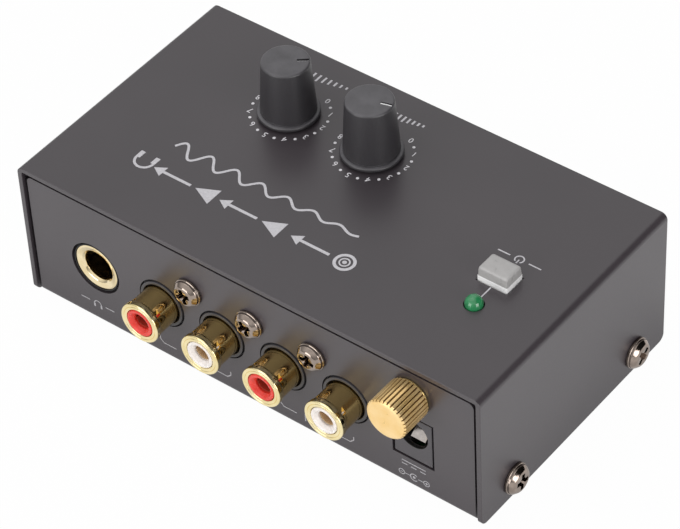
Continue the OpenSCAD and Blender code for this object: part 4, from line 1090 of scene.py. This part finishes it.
def makeKnurlTree():
    # straight grooves pressed into a turned band, where the stored grip is 1; their depth is stored as valley
    tree, ins, out = startTree("straightKnurl", [
        ("Geometry", "Geometry", None), ("Ridges", "Int", 32), ("Depth", "Float", 0.0003),
        ("Finish", "Material", None)])
    spot = addNode(tree, "GeometryNodeInputPosition")
    split = addNode(tree, "ShaderNodeSeparateXYZ", links={0: spot.outputs[0]}).outputs
    turns = calc(tree, "MULTIPLY", calc(tree, "ARCTAN2", split["Y"], split["X"]), ins["Ridges"])
    inward = easeBetween(tree, calc(tree, "COSINE", turns), *ground["grooveWave"], 0.0, -1.0)
    grip = addNode(tree, "GeometryNodeInputNamedAttribute", {"data_type": "FLOAT"}, {"Name": "grip"})
    held = calc(tree, "MULTIPLY", inward, grip.outputs[0])
    flat = addNode(tree, "ShaderNodeCombineXYZ", links={"X": split["X"], "Y": split["Y"]})
    unit = addNode(tree, "ShaderNodeVectorMath", {"operation": "NORMALIZE"}, links={0: flat.outputs[0]})
    push = addNode(tree, "ShaderNodeVectorMath", {"operation": "SCALE"},
                   links={0: unit.outputs[0], "Scale": calc(tree, "MULTIPLY", held, ins["Depth"])})
    moved = addNode(tree, "GeometryNodeSetPosition",
                    links={"Geometry": ins["Geometry"], "Offset": push.outputs[0]})
    marked = addNode(tree, "GeometryNodeStoreNamedAttribute", {"data_type": "FLOAT", "domain": "POINT"},
                     {"Name": "valley"},
                     {"Geometry": moved.outputs[0], "Value": calc(tree, "MULTIPLY", held, -1.0)})
    return endTree(tree, ins, out, marked.outputs[0])


knurlTree = makeKnurlTree()


def buildGroundTerminal():
    g = ground
    bore, thick = g["bore"], g["washerThick"]
    rim = g["washerRadius"]
    washer = lathe("groundWasher", [(bore, 0, 0), (rim, 0, 0.08), (rim, thick, 0.08), (bore, thick, 0.05)])
    place(washer, at(g["x"], g["washerY"], g["z"]) @ towardsY)
    dress(washer, "ground_washer", "gold_plate", nodes=["ground_washer"])
    r, h, rim = g["nutRadius"], g["nutLength"], g["rim"]
    root = r - g["knurl"]
    profile = [(bore, 0, 0), (root - 0.2, 0, 0.05), (root - 0.02, 0.15, 0.05)]
    profile += [(r, 0.2 + (h - rim - 0.2) * k / g["bands"], 0) for k in range(g["bands"] + 1)]
    profile += [(root - 0.02, h - 0.14, 0.12), (r - rim - 0.25, h, 0.25), (0, h, 0), (0, g["boreDepth"], 0),
                (bore, g["boreDepth"], 0)]
    nut = lathe("nutBlank", profile, g["ridges"] * 12)
    grip = nut.data.attributes.new("grip", "FLOAT", "POINT")
    for v in nut.data.vertices:
        radius = sqrt(v.co.x ** 2 + v.co.y ** 2) / mm
        grip.data[v.index].value = 1.0 if radius > r - 0.05 else 0.0
    values = {"Ridges": g["ridges"], "Depth": g["knurl"] * mm, "Finish": finishes["gold_plate"]}
    turned = runTree("groundNut", knurlTree, values, nut.data.copy())
    drop(nut)
    place(turned, at(g["x"], g["nutY"], g["z"]) @ towardsY)
    dress(turned, "ground_nut", "gold_plate", nutGold, ["ground_nut"])


buildPhoneJack()
buildDcSocket()
buildGroundTerminal()
print("phone jack, socket and ground terminal done")

# printing

prints = {
    "lift": 0.03,  # ink thickness in mm
    "clear": 0.002,  # from the paint up to the ink
    "ring": 7.5, "ringBack": 0.35,  # radius of the scales, and how far their centres lie behind the knobs'
    "numeral": 1.25, "numerals": 11, "dot": 0.3,
    "firstAngle": 240.0, "numeralStep": -30.0,
    "bars": (((15.0, 23.6), (-23.4, -21.2)), ((-2.9, 4.3), (-23.0, -20.9))),  # x and y ranges
    "barCount": 7, "barStroke": 0.4,
    "fineStroke": 0.26, "panelStroke": 0.2,
}
chain = {  # record, amplifiers and headphones joined by arrows; places count from the record
    "x": -12.5, "y": 14.3, "stroke": 0.6,
    "record": (1.85, 0.95, 0.42),  # radii of rim, groove and label
    "groove": 0.28,
    "arrows": (3.4, 19.7, 35.0), "arrowLength": 8.6, "arrowHead": 2.2,
    "amplifiers": (14.2, 29.5), "ampLength": 4.4, "ampHalf": 2.1,
    "headphones": 46.2, "drop": 0.5,  # their middle lies that far nearer than the chain's
    "arch": (1.95, 0.5), "cup": (1.75, 0.95, 1.8), "archSteps": 20,
}
wave = {
    "left": -10.6, "right": 31.7, "y": 7.6, "stroke": 0.5,
    "turns": 7, "steps": 180,
    "height": 0.35, "growth": 1.45,  # at the left end, and what is added up to the right end
}

standby = {  # sign by the power button, with a dash on either side
    "below": 5.9, "arc": (0.85, 125, 415, 28), "tick": (0.1, 1.1), "dash": (4.6, 2.0),
    "fromButton": 2.7, "toIndicator": 2.1,  # ends of the line that joins button and indicator
}
phoneSign = {"aside": 0.5, "below": 9.5, "arch": 0.85, "cup": (0.8, 0.38, 0.8), "archSteps": 16,
             "dash": (1.9, 4.0), "dashLift": 0.25}
plug = {  # direct current sign, and below it the polarity sign
    "below": 8.2, "bar": 2.6, "apart": 0.4,  # bar and dashes lie that far from the middle
    "dash": (-2.6, -1.4), "dashStep": 2.0, "dashes": 3,
    "polarity": 2.8, "mouth": (0.8, 40, 320, 20), "contact": 0.3, "fineStroke": 0.16,
    "ends": 2.7, "endRing": 0.6, "mark": 0.3, "clear": 0.08, "join": (2.0, 0.9),
}
bracket = {  # joins the two jacks of a pair; lengths from their middle
    "below": 10.4, "edge": 8.3, "rise": 1.6, "corner": 0.8, "inner": 4.6,
    "input": (1.9, 2.4), "output": (3.4, -2.6),  # the arrow's tip and the bar
    "arrow": 4.1, "arrowHead": 1.2, "bar": 0.9, "stroke": 0.24,
}


def ribbon(points, width, closed=False):
    # a stroke of even width along a line, as a flat strip: vertices and faces
    pts = [Vector(p) for p in points]
    n = len(pts)
    verts, faces = [], []
    for i, p in enumerate(pts):
        before = pts[(i - 1) % n] if closed or i else None
        after = pts[(i + 1) % n] if closed or i < n - 1 else None
        d1 = (p - before).normalized() if before is not None else None
        d2 = (after - p).normalized() if after is not None else None
        d = ((d1 or d2) + (d2 or d1)).normalized()
        side = Vector((-d.y, d.x))
        edge = d2 or d1
        stretch = 1 / max(0.35, abs(side.dot(Vector((-edge.y, edge.x)))))
        verts += [p + side * width / 2 * stretch, p - side * width / 2 * stretch]
    for i in range(n if closed else n - 1):
        j = (i + 1) % n
        faces.append((2 * i, 2 * i + 1, 2 * j + 1, 2 * j))
    return verts, faces


def arc(x, y, r, a0, a1, steps):
    angles = [radians(a0 + (a1 - a0) * k / steps) for k in range(steps + 1)]
    return [(x + r * cos(a), y + r * sin(a)) for a in angles]


def ring(x, y, r, width, steps=40):
    return ribbon(arc(x, y, r, 0, 360 - 360 / steps, steps - 1), width, True)


def patch(points):
    return [Vector(p) for p in points], [tuple(range(len(points)))]


def disc(x, y, r, steps=28):
    return patch(arc(x, y, r, 0, 360 - 360 / steps, steps - 1))


def arrow(x, y, size):
    # a solid head with its tip at (x, y), pointing along +x
    return patch([(x, y), (x - size, y + size * 0.6), (x - size, y - size * 0.6)])


def line(x0, y0, x1, y1, width):
    return ribbon([(x0, y0), (x1, y1)], width)


def headphones(x, y, radius, stroke, cup, steps):
    # an arch round (x, y) with a cup under each end; cup is its place, width and length
    side, width, length = cup
    cups = [line(x + s * side, y - length, x + s * side, y, width) for s in (-1, 1)]
    return [ribbon(arc(x, y, radius, 0, 180, steps), stroke)] + cups


def numeral(text, x, y, height):
    # a figure in the default face, as flat faces centred on (x, y)
    curve = bpy.data.curves.new("numeral", "FONT")
    curve.body = text
    curve.align_x = "CENTER"
    curve.size = height / 0.7
    curve.resolution_u = 3
    obj = newObject("numeral", curve)
    mesh = bpy.data.meshes.new_from_object(obj.evaluated_get(bpy.context.evaluated_depsgraph_get()))
    verts = [Vector((v.co.x, v.co.y)) for v in mesh.vertices]
    faces = [tuple(f.vertices) for f in mesh.polygons]
    xs, ys = [v.x for v in verts], [v.y for v in verts]
    mid = Vector(((min(xs) + max(xs)) / 2, (min(ys) + max(ys)) / 2))
    verts = [v - mid + Vector((x, y)) for v in verts]
    bpy.data.objects.remove(obj)
    bpy.data.curves.remove(curve)
    bpy.data.meshes.remove(mesh)
    return verts, faces


def inkPiece(name, shapes, matrix, finish):
    # flat shapes given thickness and laid on their face
    bm = bmesh.new()
    for verts, faces in shapes:
        new = [bm.verts.new((v[0] * mm, v[1] * mm, 0)) for v in verts]
        for face in faces:
            bm.faces.new([new[i] for i in face])
    bmesh.ops.remove_doubles(bm, verts=bm.verts, dist=2e-6)
    for face in bm.faces:
        face.normal_update()
        if face.normal.z > 0:
            face.normal_flip()
    raised = bmesh.ops.extrude_face_region(bm, geom=bm.faces[:])
    tops = [g for g in raised["geom"] if isinstance(g, bmesh.types.BMVert)]
    bmesh.ops.translate(bm, verts=tops, vec=(0, 0, prints["lift"] * mm))
    bmesh.ops.recalc_face_normals(bm, faces=bm.faces)
    obj = place(fromBmesh(name, bm, 0), matrix)
    dress(obj, "case", "white_plastic", finish)


onTop = at(0, 0, case["topZ"] + prints["clear"])
facingPanel = Matrix(((-1, 0, 0, 0), (0, 0, 1, 0), (0, 1, 0, 0), (0, 0, 0, 1)))
onPanel = at(0, case["panelY"] + prints["clear"], 0) @ facingPanel


def buildDials():
    p = prints
    first, step = radians(p["firstAngle"]), radians(p["numeralStep"])
    shapes = []
    for x, y in knob["centres"].values():
        for k in range(p["numerals"]):
            a = first + step * k
            across, along = p["ring"] * cos(a), p["ring"] * sin(a)
            shapes.append(numeral(str(k), x + across, y - p["ringBack"] + along, p["numeral"]))
    inkPiece("dialNumerals", shapes, onTop, dialInk)
    for which, (x, y) in knob["centres"].items():
        dots = runTree(which + "DialDots", dialTree, {
            "Dots": p["numerals"] - 1, "Ring Radius": p["ring"] * mm, "First Angle": first + step / 2,
            "Angle Step": step,
            "Dot Radius": p["dot"] * mm, "Ink Height": p["lift"] * mm, "Finish": dialInk})
        place(dots, at(x, y - p["ringBack"], case["topZ"] + p["lift"] / 2))
        dress(dots, "case", "white_plastic", dialInk)


def signalChain():
    c = chain
    x, y, w, head = c["x"], c["y"], c["stroke"], c["arrowHead"]
    rim, groove, label = c["record"]
    shapes = [ring(x, y, rim, w), ring(x, y, groove, c["groove"]), disc(x, y, label)]
    for start in c["arrows"]:
        tip = x + start + c["arrowLength"]
        shapes += [line(x + start, y, tip - head, y, w), arrow(tip, y, head)]  # they meet and don't overlap
    for start in c["amplifiers"]:
        back, half = x + start, c["ampHalf"]
        shapes.append(patch([(back, y - half), (back + c["ampLength"], y), (back, y + half)]))
    x, y = x + c["headphones"], y - c["drop"]
    return shapes + headphones(x, y, *c["arch"], c["cup"], c["archSteps"])


def growingWave():
    points = []
    for k in range(wave["steps"] + 1):
        t = k / wave["steps"]
        height = (wave["height"] + wave["growth"] * t) * sin(2 * pi * wave["turns"] * t)
        points.append((wave["left"] + (wave["right"] - wave["left"]) * t, wave["y"] + height))
    return [ribbon(points, wave["stroke"])]


def risingBars():
    # bars of growing height beside the two controls
    shapes, count = [], prints["barCount"]
    for (x0, x1), (y0, y1) in prints["bars"]:
        for k in range(count):
            x = x0 + (x1 - x0) * (k + 0.5) / count
            shapes.append(line(x, y0, x, y0 + (y1 - y0) * (0.3 + 0.7 * k / (count - 1)), prints["barStroke"]))
    return shapes


def buttonSigns():
    # a standby sign by the power button, and the line from the button to the indicator
    b, (x, middle), w = standby, button["centre"], prints["fineStroke"]
    y = middle - b["below"]
    low, high = b["tick"]
    outer, inner = b["dash"]
    shapes = [ribbon(arc(x, y, *b["arc"]), w), line(x, y + low, x, y + high, w)]
    shapes += [line(x + s * outer, y, x + s * inner, y, w) for s in (-1, 1)]
    end = indicator["centre"][1] - b["toIndicator"]
    return shapes + [line(x, middle + b["fromButton"], x, end, w)]


def phoneSigns(x, z, w):
    # headphones with a dash on either side
    p = phoneSign
    x, z, (near, far) = x - p["aside"], z - p["below"], p["dash"]
    shapes = headphones(x, z, p["arch"], w, p["cup"], p["archSteps"])
    lift = p["dashLift"]
    return shapes + [line(x + s * near, z + lift, x + s * far, z + lift, w) for s in (-1, 1)]


def plugSigns(x, z, w):
    # direct current, and below it a ringed centre contact between minus and plus
    p = plug
    z -= p["below"]
    bar, apart, mark, fine = p["bar"], p["apart"], p["mark"], p["fineStroke"]
    shapes = [line(x - bar, z + apart, x + bar, z + apart, w)]
    for k in range(p["dashes"]):
        start, end = [x + across + p["dashStep"] * k for across in p["dash"]]
        shapes.append(line(start, z - apart, end, z - apart, w))
    z -= p["polarity"]
    shapes += [ribbon(arc(x, z, *p["mouth"]), w), disc(x, z, p["contact"])]
    plus, (outer, inner) = x + p["ends"], p["join"]
    for s in (-1, 1):
        end = x + s * p["ends"]
        shapes += [ring(end, z, p["endRing"], fine), line(end - mark, z, end + mark, z, fine),
                   line(plus, z + s * p["clear"], plus, z + s * mark, fine),
                   line(x + s * outer, z, x + s * inner, z, fine)]
    return shapes


def pairSigns(middle, z, which, w):
    # brackets that join the two jacks of a pair, with an arrow to or from a bar between them
    b, shapes = bracket, []
    z -= b["below"]
    corner, head = b["corner"], b["arrowHead"]
    for s in (-1, 1):
        edge, inner = middle + s * b["edge"], middle + s * b["inner"]
        corners = [(edge, z + b["rise"]), (edge, z + corner), (edge - s * corner, z), (inner, z)]
        shapes.append(ribbon(corners, w))
    tip, bar = [middle + across for across in b[which]]
    shapes += [line(tip - b["arrow"], z, tip - head, z, b["stroke"]), arrow(tip, z, head)]
    return shapes + [line(bar, z - b["bar"], bar, z + b["bar"], b["stroke"])]


def buildPanelPictures():
    # drawn as seen from the jack side, so the local x runs along -X
    w = prints["panelStroke"]
    shapes = phoneSigns(-phone["x"], phone["axisZ"], w) + plugSigns(-ground["x"], phone["axisZ"], w)
    for pair, which in ((0, "input"), (2, "output")):
        shapes += pairSigns(-rca["first"] + (pair + 0.5) * rca["pitch"], rca["axisZ"], which, w)
    inkPiece("panelPictures", shapes, onPanel, panelInk)


buildDials()
inkPiece("topPictures", signalChain() + growingWave() + risingBars() + buttonSigns(), onTop, ink)
buildPanelPictures()
print("printing done")

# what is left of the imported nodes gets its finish

slotOf = {part["node"]: part["material_slot"] for part in frame["record"]["subparts"]}
for name, node in frame["nodes"].items():
    for materialSlot in node.material_slots:
        materialSlot.material = finishes[slotOf[name]]

print("all pieces done")
